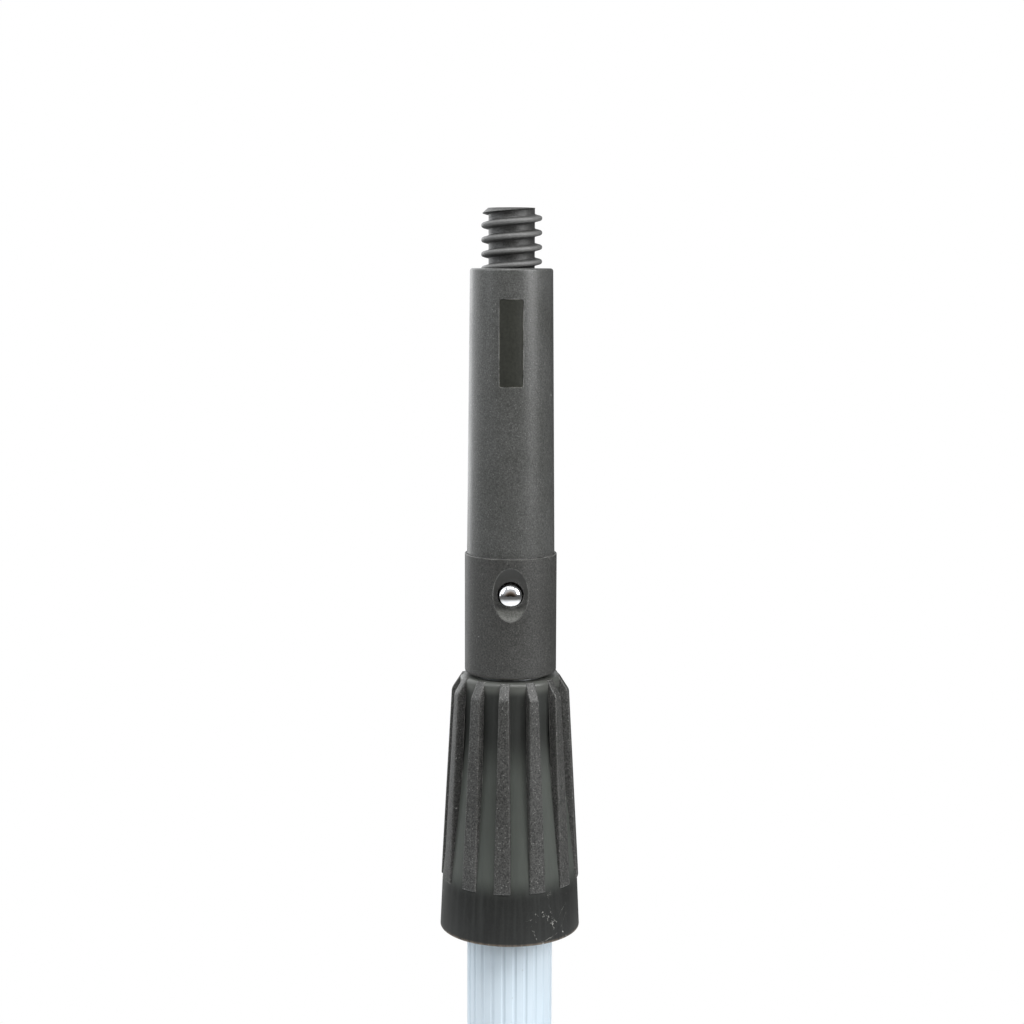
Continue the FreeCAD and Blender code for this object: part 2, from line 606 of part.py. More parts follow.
def threaded_tip():
    """Hollow tapered barrel with a shank for the socket below and a coarse right-hand thread above."""
    body = barrel(0)
    body = body.makeFillet(TIP_TOP_EDGE, circles(body, TIP_TOP_R, SHOULDER))
    relief_floor = SHOULDER - THREAD_RELIEF_DEPTH
    body = body.cut(tube(THREAD_CORE_R, THREAD_R + THREAD_RELIEF_GAP, relief_floor, SHOULDER + 1))
    shank_foot = SOCKET_TOP - SHANK_LENGTH
    shank = Part.makeCylinder(SHANK_R, SHANK_LENGTH, Vector(0, 0, shank_foot))
    shank = shank.makeFillet(SHANK_EDGE, circles(shank, SHANK_R, shank_foot))
    core = Part.makeCylinder(THREAD_CORE_R, THREAD_LENGTH, Vector(0, 0, SHOULDER))
    core = core.makeChamfer(THREAD_TOP_EDGE, circles(core, THREAD_CORE_R, THREAD_TOP))
    ridge = helical_ridge(
        THREAD_PITCH, THREAD_CORE_R, THREAD_R, THREAD_RIDGE_ROOT, THREAD_RIDGE_CREST,
        SHOULDER + THREAD_RISE - THREAD_PITCH, THREAD_TOP + THREAD_PITCH, THREAD_CREST_ROUND,
    )
    height = THREAD_TOP - relief_floor
    ridge = ridge.common(Part.makeCylinder(2 * THREAD_R, height, Vector(0, 0, relief_floor)))
    hollow_top = SHOULDER - TIP_TOP_WALL
    core_hole_top = THREAD_TOP - THREAD_CORE_HOLE_TOP
    hollow = revolved([
        (0, shank_foot - 1), (SHANK_BORE_R, shank_foot - 1), (SHANK_BORE_R, hollow_top),
        (THREAD_CORE_HOLE_R, hollow_top + TIP_CORE_CONE), (THREAD_CORE_HOLE_R, core_hole_top),
        (0, core_hole_top),
    ])
    body = body.fuse([shank, core, ridge]).cut(hollow)
    body = body.cut(rod(0, BUTTON_Z, BUTTON_R + BUTTON_HOLE_GAP, 0, SHANK_R + 1))
    return body.cut(label_recess())


def label_recess():
    """What is cut from the barrel's front for the blank label."""
    return label_plate(-1.0, LABEL_RECESS, 0.0)


def tip_label():
    """Thin blank label that lies in the barrel's recess."""
    return label_plate(LABEL_RECESS - LABEL_THICKNESS, LABEL_RECESS, SEAT)


def label_plate(shallow, deep, gap):
    """A rounded rectangle on the barrel's front, between two depths, smaller all round by gap."""
    top = SHOULDER - LABEL_BELOW_SHOULDER - gap
    foot = top - LABEL_HEIGHT + 2 * gap
    half = LABEL_WIDTH / 2 - gap
    plate = block((-half, half), (-TIP_FOOT_R - 2, 0), (foot, top))
    corners = [e for e in plate.Edges if abs(e.tangentAt(e.FirstParameter).y) > 0.9]
    plate = plate.makeFillet(LABEL_CORNER - gap, corners)
    return plate.common(barrel(shallow)).cut(barrel(deep))


SUB_PARTS = [
    outer_tube, end_cap, end_cap_rivets, hand_grip,
    lock_body, lock_body_rivets, lock_ring, lock_collar,
    inner_tube, guide_bush, guide_bush_pin, stop_sleeve, socket, socket_rivet,
    threaded_tip, tip_label, leaf_spring, snap_button, button_washer,
]

os.makedirs("parts", exist_ok=True)
for make in SUB_PARTS:
    shape = make()
    shape.exportStep(os.path.join("parts", make.__name__ + ".step"))
    print(make.__name__, len(shape.Solids), "solid(s)", round(shape.Volume, 1), "mm3", shape.isValid())
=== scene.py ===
# %% [markdown]
# # A telescopic window-cleaning pole, closed and locked
# The pole stands on its end cap. Its lower section is a fluted aluminium tube with a rubber grip.
# Above it come a ribbed twist-lock collar, a plastic socket with a chrome snap button, and a tapered
# tip that ends in the coarse thread that tools screw on. This file first loads the engineering model,
# then sets up the picture, then builds each finish, and then models each visible piece again with
# rounded edges. Everything is in metres, +Z runs up the pole, and the snap button faces -Y.

# %% Load the engineering model
import math

import bmesh
import bpy
from mathutils import Matrix, Vector


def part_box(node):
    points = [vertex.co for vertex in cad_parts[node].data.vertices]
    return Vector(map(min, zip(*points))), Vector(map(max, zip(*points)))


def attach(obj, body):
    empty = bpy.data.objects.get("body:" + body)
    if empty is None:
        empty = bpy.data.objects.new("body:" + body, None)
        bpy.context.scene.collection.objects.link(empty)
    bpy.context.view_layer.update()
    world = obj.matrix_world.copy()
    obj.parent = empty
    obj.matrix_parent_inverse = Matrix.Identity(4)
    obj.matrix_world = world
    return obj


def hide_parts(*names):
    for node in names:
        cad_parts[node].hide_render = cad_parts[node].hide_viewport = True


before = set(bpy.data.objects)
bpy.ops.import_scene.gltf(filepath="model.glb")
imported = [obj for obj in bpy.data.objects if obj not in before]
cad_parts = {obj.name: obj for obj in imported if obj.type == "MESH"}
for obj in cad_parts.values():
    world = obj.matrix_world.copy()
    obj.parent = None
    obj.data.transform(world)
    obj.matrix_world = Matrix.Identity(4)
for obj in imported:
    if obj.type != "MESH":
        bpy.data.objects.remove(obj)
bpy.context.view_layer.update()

MM = 0.001

# %% [markdown]
# ## The camera
# The pole is seen from close by and slightly above: the camera is level with the shoulder under the
# thread and tips down about seven degrees, so each ring of the pole shows as a thin ellipse that
# opens further down. The focal length and the distance together set that change, so they are a pair.

# %% Camera
CAMERA_DISTANCE = 0.660
CAMERA_TILT = math.radians(7.43)
CAMERA_ROLL = math.radians(0.17)
CAMERA_ASIDE = 0.0004
LENS_MM, SENSOR_MM = 65.74, 36.0
THREAD_LENGTH = 20.8

shoulder_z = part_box("threaded_tip")[1].z - THREAD_LENGTH * MM
camera_data = bpy.data.cameras.new("camera")
camera_data.lens = LENS_MM
camera_data.sensor_width = SENSOR_MM
camera_data.clip_start = 0.01
camera = bpy.data.objects.new("camera", camera_data)
bpy.context.scene.collection.objects.link(camera)
turn = Matrix.Rotation(math.pi / 2 - CAMERA_TILT, 3, "X") @ Matrix.Rotation(CAMERA_ROLL, 3, "Z")
camera.rotation_euler = turn.to_euler()
camera.location = (CAMERA_ASIDE, -CAMERA_DISTANCE, shoulder_z)
bpy.context.scene.camera = camera
print("camera height", round(shoulder_z, 4))

# %% [markdown]
# ## Wiring nodes
# A material or a sky is a tree of nodes. These small helpers add a node with its values set, join
# sockets, and remap one number on to another range. They keep the trees below short enough to read.


# %% Node helpers
def add(tree, kind, operation=None, **values):
    """Adds a node; operation sets its mode, and each keyword sets the input socket of that name."""
    node = tree.nodes.new("ShaderNode" + kind)
    if operation:
        node.operation = operation
    for key, value in values.items():
        node.inputs[key.replace("_", " ")].default_value = value
    return node


def join(tree, *pairs):
    """Links each pair of sockets, from an output to an input."""
    for a, b in pairs:
        tree.links.new(a, b)


def remap(tree, value, low, high, to_low=0.0, to_high=1.0, smooth=False):
    """A Map Range node fed by value; returns its output."""
    node = add(tree, "MapRange", From_Min=low, From_Max=high, To_Min=to_low, To_Max=to_high)
    if smooth:
        node.interpolation_type = "SMOOTHSTEP"
    join(tree, (value, node.inputs["Value"]))
    return node.outputs[0]


def times(tree, a, b):
    """The product of two values, each a number or a socket."""
    node = add(tree, "Math", "MULTIPLY")
    for socket, value in zip(node.inputs, (a, b)):
        if isinstance(value, float):
            socket.default_value = value
        else:
            join(tree, (value, socket))
    return node.outputs[0]

# %% [markdown]
# ## The studio
# Dark plastic shows its form by what it reflects, so the room matters as much as the lamps. The eye
# sees plain white behind the pole, but the pole itself is lit by an uneven room. In front, the room is
# dark below eye level and brighter above it, and round the viewer there is a dark warm patch, as where
# a person stands behind the camera. Behind the pole the room is bright on the left and dark on the
# right, which draws a pale line down one edge only. Four softboxes are added to it: a key on the right,
# a weaker fill on the left, one overhead, and a narrow one behind the left edge.

# %% World
VIEWER_WAY = (0.0, -0.98, -0.19)
VIEWER_WARMTH, ROOM_TINT = (1.0, 0.74, 0.55, 1.0), (0.97, 0.985, 1.0, 1.0)
world = bpy.data.worlds.new("studio")
bpy.context.scene.world = world
world.use_nodes = True
tree = world.node_tree
tree.nodes.clear()
direction = tree.nodes.new("ShaderNodeTexCoord")
split = add(tree, "SeparateXYZ")
join(tree, (direction.outputs["Generated"], split.inputs[0]))
behind_light = remap(tree, split.outputs["X"], -0.35, 0.30, 2.0, 0.06, smooth=True)
front_light = remap(tree, split.outputs["Z"], -0.20, 0.38, 0.06, 0.60, smooth=True)
to_viewer = add(tree, "VectorMath", "DOT_PRODUCT")
to_viewer.inputs[1].default_value = VIEWER_WAY
join(tree, (direction.outputs["Generated"], to_viewer.inputs[0]))
off_viewer = remap(tree, to_viewer.outputs["Value"], 0.96, 0.70, smooth=True)
is_behind = remap(tree, split.outputs["Y"], -0.30, 0.35, smooth=True)
room_light = add(tree, "Mix")
join(
    tree,
    (is_behind, room_light.inputs[0]),
    (times(tree, front_light, remap(tree, off_viewer, 0.0, 1.0, 0.12, 1.0)), room_light.inputs[2]),
    (behind_light, room_light.inputs[3]),
)
tint = tree.nodes.new("ShaderNodeMix")
tint.data_type = "RGBA"
tint.inputs[6].default_value = VIEWER_WARMTH
tint.inputs[7].default_value = ROOM_TINT
room = add(tree, "Background")
white = add(tree, "Background", Color=(1.0, 1.0, 1.0, 1.0))
sight = add(tree, "LightPath")
which = add(tree, "MixShader")
out = add(tree, "OutputWorld")
join(
    tree,
    (off_viewer, tint.inputs[0]),
    (tint.outputs[2], room.inputs["Color"]),
    (room_light.outputs[0], room.inputs["Strength"]),
    (sight.outputs["Is Camera Ray"], which.inputs[0]),
    (room.outputs[0], which.inputs[1]),
    (white.outputs[0], which.inputs[2]),
    (which.outputs[0], out.inputs["Surface"]),
)
bpy.context.scene.view_settings.view_transform = "Standard"


# %% Lamps
AIM_BELOW_SHOULDER = 0.12


def softbox(name, azimuth, elevation, distance, size, watts, tint=(1.0, 1.0, 1.0)):
    """A rectangular lamp aimed at the socket. Azimuth 0 is the camera's side, + is to its right."""
    data = bpy.data.lights.new(name, "AREA")
    data.shape = "RECTANGLE"
    data.size, data.size_y = size
    data.energy = watts
    data.color = tint
    lamp = bpy.data.objects.new(name, data)
    bpy.context.scene.collection.objects.link(lamp)
    a, e = math.radians(azimuth), math.radians(elevation)
    aim = Vector((0.0, 0.0, shoulder_z - AIM_BELOW_SHOULDER))
    away = Vector((math.sin(a) * math.cos(e), -math.cos(a) * math.cos(e), math.sin(e)))
    lamp.location = aim + away * distance
    lamp.rotation_euler = away.to_track_quat("Z", "Y").to_euler()


softbox("key_right", 57.0, 26.0, 1.2, (0.62, 0.9), 14.5)
softbox("fill_left", -66.0, 28.0, 1.3, (0.5, 0.9), 5.5, (0.95, 0.98, 1.0))
softbox("overhead", 0.0, 60.0, 1.1, (0.8, 0.4), 9.0)
softbox("rim_left", -142.0, 2.0, 1.3, (0.25, 1.0), 1.5)


# %% [markdown]
# ## The floor
# The pole stands on a pale round floor. Seen by the eye it fades into the white behind, so that no
# horizon crosses the picture. What the pole itself receives from it is real paint: pale near the foot,
# where it lights the pole from below, and dark further out, so that it draws no second bright side.


# %% Floor
FLOOR_R = 4.0


def deselect():
    if bpy.context.object and bpy.context.object.mode != "OBJECT":
        bpy.ops.object.mode_set(mode="OBJECT")
    bpy.ops.object.select_all(action="DESELECT")


deselect()
bpy.ops.mesh.primitive_circle_add(vertices=96, radius=FLOOR_R, fill_type="NGON", location=(0, 0, 0))
floor = bpy.context.object
floor.name = "floor"
floor_finish = bpy.data.materials.new("floor_white")
floor_finish.use_nodes = True
tree = floor_finish.node_tree
tree.nodes.clear()
spot = tree.nodes.new("ShaderNodeTexCoord")
reach = add(tree, "VectorMath", "LENGTH")
join(tree, (spot.outputs["Object"], reach.inputs[0]))
paint = add(tree, "BsdfDiffuse", Color=(0.86, 0.87, 0.88, 1.0))
dark_paint = add(tree, "BsdfDiffuse", Color=(0.16, 0.16, 0.155, 1.0))
glow = add(tree, "Emission")
sight = add(tree, "LightPath")
to_eye, to_pole, both = (add(tree, "MixShader") for _ in range(3))
out = add(tree, "OutputMaterial")
join(
    tree,
    (remap(tree, reach.outputs["Value"], 0.15, 0.75, smooth=True), to_eye.inputs[0]),
    (paint.outputs[0], to_eye.inputs[1]),
    (glow.outputs[0], to_eye.inputs[2]),
    (remap(tree, reach.outputs["Value"], 0.4, 1.2, smooth=True), to_pole.inputs[0]),
    (paint.outputs[0], to_pole.inputs[1]),
    (dark_paint.outputs[0], to_pole.inputs[2]),
    (sight.outputs["Is Camera Ray"], both.inputs[0]),
    (to_pole.outputs[0], both.inputs[1]),
    (to_eye.outputs[0], both.inputs[2]),
    (both.outputs[0], out.inputs["Surface"]),
)
floor.data.materials.append(floor_finish)

# %% [markdown]
# ## Shared effects
# Four effects come back in several finishes, so each is a shader node group, built once. Moulded grain
# is the fine pitted skin that a spark-eroded mould leaves, and its rare glints are painted highlights,
# pale specks put in the colour. Edge wear finds sharp edges by comparing the true normal with one taken
# over a small radius, where handling has polished or paled the plastic. Dust is sparse pale specks.
# Scuffs are thin scratches that thin out and break up.


# %% Helpers for node groups
def new_group(name, inputs, outputs):
    """A node group with the named sockets; returns it with its input node and its output node."""
    group = bpy.data.node_groups.new(name, "ShaderNodeTree")
    for socket, kind, default in inputs:
        made = group.interface.new_socket(socket, in_out="INPUT", socket_type=kind)
        if default is not None:
            made.default_value = default
    for socket, kind in outputs:
        group.interface.new_socket(socket, in_out="OUTPUT", socket_type=kind)
    return group, group.nodes.new("NodeGroupInput"), group.nodes.new("NodeGroupOutput")


def one_over(tree, spacing):
    """Turns the spacing of a pattern into the number of cells in a metre."""
    node = add(tree, "Math", "DIVIDE")
    node.inputs[0].default_value = 1.0
    join(tree, (spacing, node.inputs[1]))
    return node.outputs[0]


# %% Moulded grain
F, V = "NodeSocketFloat", "NodeSocketVector"
grain, gi, go = new_group(
    "moulded_grain",
    [("Vector", V, None), ("Pitch", F, 0.00035)],
    [("Height", F), ("Glint", F), ("Cloud", F)],
)
per_metre = one_over(grain, gi.outputs["Pitch"])
fine = add(grain, "TexNoise", Detail=2.5, Roughness=0.62)
glint = add(grain, "TexVoronoi", Randomness=1.0)
cloud = add(grain, "TexNoise", Scale=38.0, Detail=3.0, Roughness=0.55)
join(
    grain,
    (gi.outputs["Vector"], fine.inputs["Vector"]),
    (gi.outputs["Vector"], glint.inputs["Vector"]),
    (gi.outputs["Vector"], cloud.inputs["Vector"]),
    (per_metre, fine.inputs["Scale"]),
    (per_metre, glint.inputs["Scale"]),
)
shade = add(grain, "SeparateColor")
join(grain, (glint.outputs["Color"], shade.inputs[0]))
rare = remap(grain, shade.outputs[0], 0.72, 1.0)
spot = remap(grain, glint.outputs["Distance"], 0.45, 0.1)
join(
    grain,
    (fine.outputs[0], go.inputs["Height"]),
    (times(grain, rare, spot), go.inputs["Glint"]),
    (remap(grain, cloud.outputs[0], 0.3, 0.7), go.inputs["Cloud"]),
)

# %% Edge wear
wear, wi, wo = new_group(
    "edge_wear",
    [("Vector", V, None), ("Radius", F, 0.0004), ("Breakup", F, 260.0)],
    [("Mask", F)],
)
rounded = wear.nodes.new("ShaderNodeBevel")
rounded.samples = 6
facing = wear.nodes.new("ShaderNodeNewGeometry")
match = add(wear, "VectorMath", "DOT_PRODUCT")
patchy = add(wear, "TexNoise", Detail=4.0, Roughness=0.65)
join(
    wear,
    (wi.outputs["Radius"], rounded.inputs["Radius"]),
    (rounded.outputs[0], match.inputs[0]),
    (facing.outputs["Normal"], match.inputs[1]),
    (wi.outputs["Vector"], patchy.inputs["Vector"]),
    (wi.outputs["Breakup"], patchy.inputs["Scale"]),
)
edge = remap(wear, match.outputs["Value"], 0.995, 0.93)
worn = remap(wear, patchy.outputs[0], 0.38, 0.62)
join(wear, (times(wear, edge, worn), wo.inputs["Mask"]))

# %% Dust
dust, di, do = new_group(
    "dust",
    [("Vector", V, None), ("Spacing", F, 0.006), ("Share", F, 0.25)],
    [("Mask", F)],
)
per_metre = one_over(dust, di.outputs["Spacing"])
cell = add(dust, "TexVoronoi", Randomness=1.0)
shade = add(dust, "SeparateColor")
left_out = add(dust, "Math", "LESS_THAN")
speck = remap(dust, cell.outputs["Distance"], 0.075, 0.03)
join(
    dust,
    (di.outputs["Vector"], cell.inputs["Vector"]),
    (per_metre, cell.inputs["Scale"]),
    (cell.outputs["Color"], shade.inputs[0]),
    (shade.outputs[1], left_out.inputs[0]),
    (di.outputs["Share"], left_out.inputs[1]),
    (times(dust, speck, left_out.outputs[0]), do.inputs["Mask"]),
)

# %% Scuffs
scuff, si, so = new_group(
    "scuffs",
    [("Vector", V, None), ("Centre", V, None), ("Reach", F, 0.02), ("Width", F, 0.006)],
    [("Mask", F)],
)
away = add(scuff, "VectorMath", "DISTANCE")
line = add(scuff, "TexNoise", Scale=150.0, Detail=5.0, Roughness=0.45, Distortion=0.6)
gaps = add(scuff, "TexNoise", Scale=420.0, Detail=2.0)
middle = add(scuff, "Math", "SUBTRACT")
middle.inputs[1].default_value = 0.5
size = add(scuff, "Math", "ABSOLUTE")
thin = add(scuff, "Math", "LESS_THAN")
near = add(scuff, "Math", "DIVIDE")
join(
    scuff,
    (si.outputs["Vector"], away.inputs[0]),
    (si.outputs["Centre"], away.inputs[1]),
    (si.outputs["Vector"], line.inputs["Vector"]),
    (si.outputs["Vector"], gaps.inputs["Vector"]),
    (line.outputs[0], middle.inputs[0]),
    (middle.outputs[0], size.inputs[0]),
    (size.outputs[0], thin.inputs[0]),
    (si.outputs["Width"], thin.inputs[1]),
    (away.outputs["Value"], near.inputs[0]),
    (si.outputs["Reach"], near.inputs[1]),
)
zone = remap(scuff, near.outputs[0], 1.0, 0.35)
kept = remap(scuff, gaps.outputs[0], 0.48, 0.58)
join(scuff, (times(scuff, times(scuff, thin.outputs[0], zone), kept), so.inputs["Mask"]))
print("groups:", [g.name for g in bpy.data.node_groups])


# %% [markdown]
# ## Finishes
# Every finish starts from one Principled shader. The black mouldings differ in how dark they are and
# how deep their grain is: the ribs and the tip are pitted and matt, while the collar's grooves and
# skirt are smoother and take a soft reflection.


# %% Helpers for finishes
def new_finish(name, metallic=0.0, roughness=0.5):
    """A new material: returns it, its tree, its Principled shader, and its Object coordinates."""
    finish = bpy.data.materials.new(name)
    finish.use_nodes = True
    tree = finish.node_tree
    shader = tree.nodes["Principled BSDF"]
    shader.inputs["Metallic"].default_value = metallic
    shader.inputs["Roughness"].default_value = roughness
    return finish, tree, shader, tree.nodes.new("ShaderNodeTexCoord").outputs["Object"]


def effect(tree, group, vector, **values):
    """Places a shared effect in a material's tree and sets its inputs."""
    node = tree.nodes.new("ShaderNodeGroup")
    node.node_tree = group
    for key, value in values.items():
        node.inputs[key].default_value = value
    join(tree, (vector, node.inputs["Vector"]))
    return node.outputs


def mix_colour(tree, factor, a, b, mode="MIX"):
    """Mixes two colours, each a tuple or a socket."""
    node = tree.nodes.new("ShaderNodeMix")
    node.data_type = "RGBA"
    node.blend_type = mode
    for socket, value in ((node.inputs[0], factor), (node.inputs[6], a), (node.inputs[7], b)):
        if isinstance(value, tuple):
            socket.default_value = (*value, 1.0)
        elif isinstance(value, float):
            socket.default_value = value
        else:
            join(tree, (value, socket))
    return node.outputs[2]


def bump(tree, shader, height, strength, distance):
    """Raises the surface by a height, which is what makes the grain catch the light."""
    node = add(tree, "Bump", Strength=strength, Distance=distance)
    join(tree, (height, node.inputs["Height"]), (node.outputs[0], shader.inputs["Normal"]))


def reopen(finish):
    """The tree of a finished material, its shader, its Object coordinates, and its colour so far."""
    tree = finish.node_tree
    shader = tree.nodes["Principled BSDF"]
    spot = tree.nodes["Texture Coordinate"].outputs["Object"]
    return tree, shader, spot, shader.inputs["Base Color"].links[0].from_socket


def from_axis(tree, spot):
    """The distance from the pole's axis, in metres."""
    plan = add(tree, "Mapping", Scale=(1.0, 1.0, 0.0))
    length = add(tree, "VectorMath", "LENGTH")
    join(tree, (spot, plan.inputs["Vector"]), (plan.outputs[0], length.inputs[0]))
    return length.outputs["Value"]


# %% Black mouldings
def moulded(
    name, dark, pale, pitch, rough, grit=0.25, worn=(0.16, 0.16, 0.155), depth=0.00008,
    glints=0.6, dust_share=0.2, edge_strength=0.75, edge_size=0.0004,
):
    """Textured plastic: clouded colour, pitted grain with painted glints, pale worn edges and a little
    dust.
    """
    finish, tree, shader, spot = new_finish(name)
    grains = effect(tree, grain, spot, Pitch=pitch)
    edges = effect(tree, wear, spot, Radius=edge_size)
    specks = effect(tree, dust, spot, Share=dust_share)
    colour = mix_colour(tree, grains["Cloud"], dark, pale)
    pits = tree.nodes.new("ShaderNodeCombineColor")
    shade = remap(tree, grains["Height"], 0.34, 0.66, 1.0 - grit, 1.0 + grit)
    join(tree, (shade, pits.inputs[0]), (shade, pits.inputs[1]), (shade, pits.inputs[2]))
    colour = mix_colour(tree, 1.0, colour, pits.outputs[0], "MULTIPLY")
    # Painted glints: the grain's glints are put in the colour as pale specks.
    colour = mix_colour(tree, times(tree, grains["Glint"], glints), colour, worn)
    colour = mix_colour(tree, times(tree, edges["Mask"], edge_strength), colour, worn)
    colour = mix_colour(tree, times(tree, specks["Mask"], 0.7), colour, (0.42, 0.42, 0.40))
    roughness = remap(tree, grains["Cloud"], 0.0, 1.0, rough - 0.04, rough + 0.05)
    join(tree, (colour, shader.inputs["Base Color"]), (roughness, shader.inputs["Roughness"]))
    bump(tree, shader, grains["Height"], 0.8, depth)
    return finish


# The tip's pale edges are wear, and along the shoulder and the pocket rim they are also a painted
# highlight, where those edges catch the light.
tip_black = moulded(
    "tip_black", (0.049, 0.050, 0.047), (0.063, 0.064, 0.062), 0.00055, 0.32, grit=0.38,
    worn=(0.21, 0.21, 0.205), edge_size=0.0005, edge_strength=0.9,
)
socket_black = moulded(
    "socket_black", (0.030, 0.030, 0.028), (0.039, 0.039, 0.037), 0.00055, 0.48, grit=0.5,
    worn=(0.26, 0.26, 0.25), edge_size=0.0006, glints=0.3, dust_share=0.12,
)
rib_black = moulded(
    "rib_black", (0.031, 0.031, 0.029), (0.043, 0.043, 0.041), 0.00055, 0.44, grit=0.75,
    worn=(0.22, 0.22, 0.21), edge_size=0.0006, glints=1.0, depth=0.00016,
)
lock_black = moulded("lock_black", (0.035, 0.035, 0.035), (0.045, 0.045, 0.045), 0.0005, 0.42, glints=0.1)
cap_black = moulded("cap_black", (0.03, 0.03, 0.03), (0.042, 0.042, 0.042), 0.0005, 0.5, glints=0.2)
rubber_black = moulded(
    "rubber_black", (0.022, 0.022, 0.022), (0.032, 0.032, 0.031), 0.0004, 0.68, glints=0.1,
)
label_black = moulded(
    "label_black", (0.017, 0.018, 0.015), (0.028, 0.029, 0.024), 0.0009, 0.33, grit=0.2,
    worn=(0.20, 0.20, 0.17), edge_size=0.0005, glints=0.0, depth=0.00001,
)

# %% [markdown]
# ## Painted light and shade in the dish
# The dish's lower half faces up, towards the lamps above, and its upper half faces down. So the lower
# half is painted pale, as a painted highlight with a little thumb wear, and the upper half is painted
# dark, as painted shade. No picture has to be painted for that: the dish is the only place on the front
# where the socket's surface is nearer the axis than the sleeve's radius, so distance and height find it.

# %% Painted light and shade in the dish
SOCKET_R = 16.4
DISH_LIGHT_AND_WEAR, UPPER_DISH_SHADE = (0.135, 0.137, 0.125), (0.021, 0.021, 0.019)
button_low, button_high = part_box("snap_button")
BUTTON_Z = 0.5 * (button_low.z + button_high.z) / MM
tree, shader, spot, bare = reopen(socket_black)
place_on = add(tree, "SeparateXYZ")
pale_patches = add(tree, "TexNoise", Scale=1500.0, Detail=3.0)
join(tree, (spot, place_on.inputs[0]), (spot, pale_patches.inputs["Vector"]))
height = place_on.outputs["Z"]
sunk = remap(tree, from_axis(tree, spot), (SOCKET_R - 0.02) * MM, (SOCKET_R - 0.25) * MM, smooth=True)
in_dish = times(tree, sunk, remap(tree, place_on.outputs["Y"], -10.0 * MM, -12.5 * MM))
lower_dish_lit = remap(tree, height, (BUTTON_Z - 4.2) * MM, (BUTTON_Z - 6.5) * MM, smooth=True)
upper_dish_shaded = remap(tree, height, (BUTTON_Z - 3.0) * MM, (BUTTON_Z + 2.0) * MM, smooth=True)
patchy = remap(tree, pale_patches.outputs[0], 0.3, 0.7, 0.25, 1.0)
# Painted shade on the upper half of the dish, and a painted highlight with a little wear on the lower
# half.
colour = mix_colour(tree, times(tree, in_dish, upper_dish_shaded), bare, UPPER_DISH_SHADE)
colour = mix_colour(tree, times(tree, times(tree, in_dish, lower_dish_lit), patchy), colour, DISH_LIGHT_AND_WEAR)
join(tree, (colour, shader.inputs["Base Color"]))

# %% [markdown]
# ## The thread's finish
# Tools are screwed on and off hard, which polishes the crests pale. The crests are also painted paler as
# a painted highlight, and the roots are painted dark as painted shade, so the colour of the thread
# follows the distance from the axis.

# %% Thread black
THREAD_CORE_R, PALE_CREST_R = 8.1, 10.6
CREST_WEAR_AND_HIGHLIGHT, ROOT_PAINTED_SHADE = (0.15, 0.15, 0.148), (0.016, 0.016, 0.016)
thread_black = moulded(
    "thread_black", (0.050, 0.050, 0.048), (0.066, 0.066, 0.064), 0.0005, 0.46, grit=0.65,
    glints=1.0, depth=0.00018,
)
tree, shader, spot, bare = reopen(thread_black)
out_from_axis = from_axis(tree, spot)
at_crest = remap(tree, out_from_axis, (PALE_CREST_R - 0.9) * MM, PALE_CREST_R * MM, smooth=True)
at_root = remap(tree, out_from_axis, (THREAD_CORE_R + 1.6) * MM, (THREAD_CORE_R + 0.2) * MM, smooth=True)
# Painted shade at the roots, and a painted highlight with wear on the crests.
colour = mix_colour(tree, times(tree, at_root, 0.5), bare, ROOT_PAINTED_SHADE)
colour = mix_colour(tree, times(tree, at_crest, 0.6), colour, CREST_WEAR_AND_HIGHLIGHT)
join(tree, (colour, shader.inputs["Base Color"]))

# %% [markdown]
# ## The collar's smooth faces
# Between the ribs the collar is smooth. Below the knee the groove floor flares up towards the lamps, so
# the grooves there are painted paler, as painted light, and above the knee much less, while the skirt
# under them gets none of it and stays dark. Faint streaks run lengthwise, the lip at the top is painted
# paler as a painted highlight, and the lower rim is worn brown. All of it follows height on the collar.
# Where the collar knocks against sills, its lower edge has scratches, kept to three small places. Each
# pair of numbers below is a band of heights, in millimetres from the collar's foot or its top, over which
# a mask grows from its least to its full value.

# %% Smooth black
collar_low, collar_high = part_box("lock_collar")
PAINTED_LIGHT_HAZE, STREAK = (0.067, 0.074, 0.066), (0.040, 0.042, 0.040)
LIP_PAINTED_HIGHLIGHT, BROWN_RIM, SCRATCH = (0.085, 0.088, 0.080), (0.15, 0.12, 0.09), (0.50, 0.50, 0.47)
ABOVE_SKIRT, NEAR_RIM = (16.0, 25.0), (1.1, 0.4)
BELOW_KNEE, NEAR_LIP = (18.0, 36.0), (5.0, 2.0)
SCUFF_PLACES = (
    # x, y, height above the rim; how far it reaches; how wide its lines are in the noise
    ((0.0105, -0.0230, 0.0010), 0.0070, 0.0070),
    ((0.0190, -0.0170, 0.0030), 0.0045, 0.0060),
    ((0.0150, -0.0205, 0.0100), 0.0110, 0.0016),
)
groove_black = moulded(
    "groove_black", (0.010, 0.010, 0.0095), (0.013, 0.014, 0.013), 0.0007, 0.36, grit=0.16,
    worn=(0.16, 0.135, 0.11), edge_size=0.0005, glints=0.0, depth=0.00001,
)
tree, shader, spot, bare = reopen(groove_black)
shader.inputs["Specular IOR Level"].default_value = 0.42
place_on = add(tree, "SeparateXYZ")
lengthwise = add(tree, "Mapping", Scale=(1.0, 1.0, 0.03))
streak = add(tree, "TexNoise", Scale=650.0, Detail=3.0)
join(
    tree,
    (spot, place_on.inputs[0]),
    (spot, lengthwise.inputs["Vector"]),
    (lengthwise.outputs[0], streak.inputs["Vector"]),
)


def band(mm, least=0.0, foot=True, smooth=True):
    """A mask that grows between two heights, measured up from the collar's foot or down from its top."""
    low, high = (collar_low.z + d * MM if foot else collar_high.z - d * MM for d in mm)
    return remap(tree, place_on.outputs["Z"], low, high, least, 1.0, smooth=smooth)
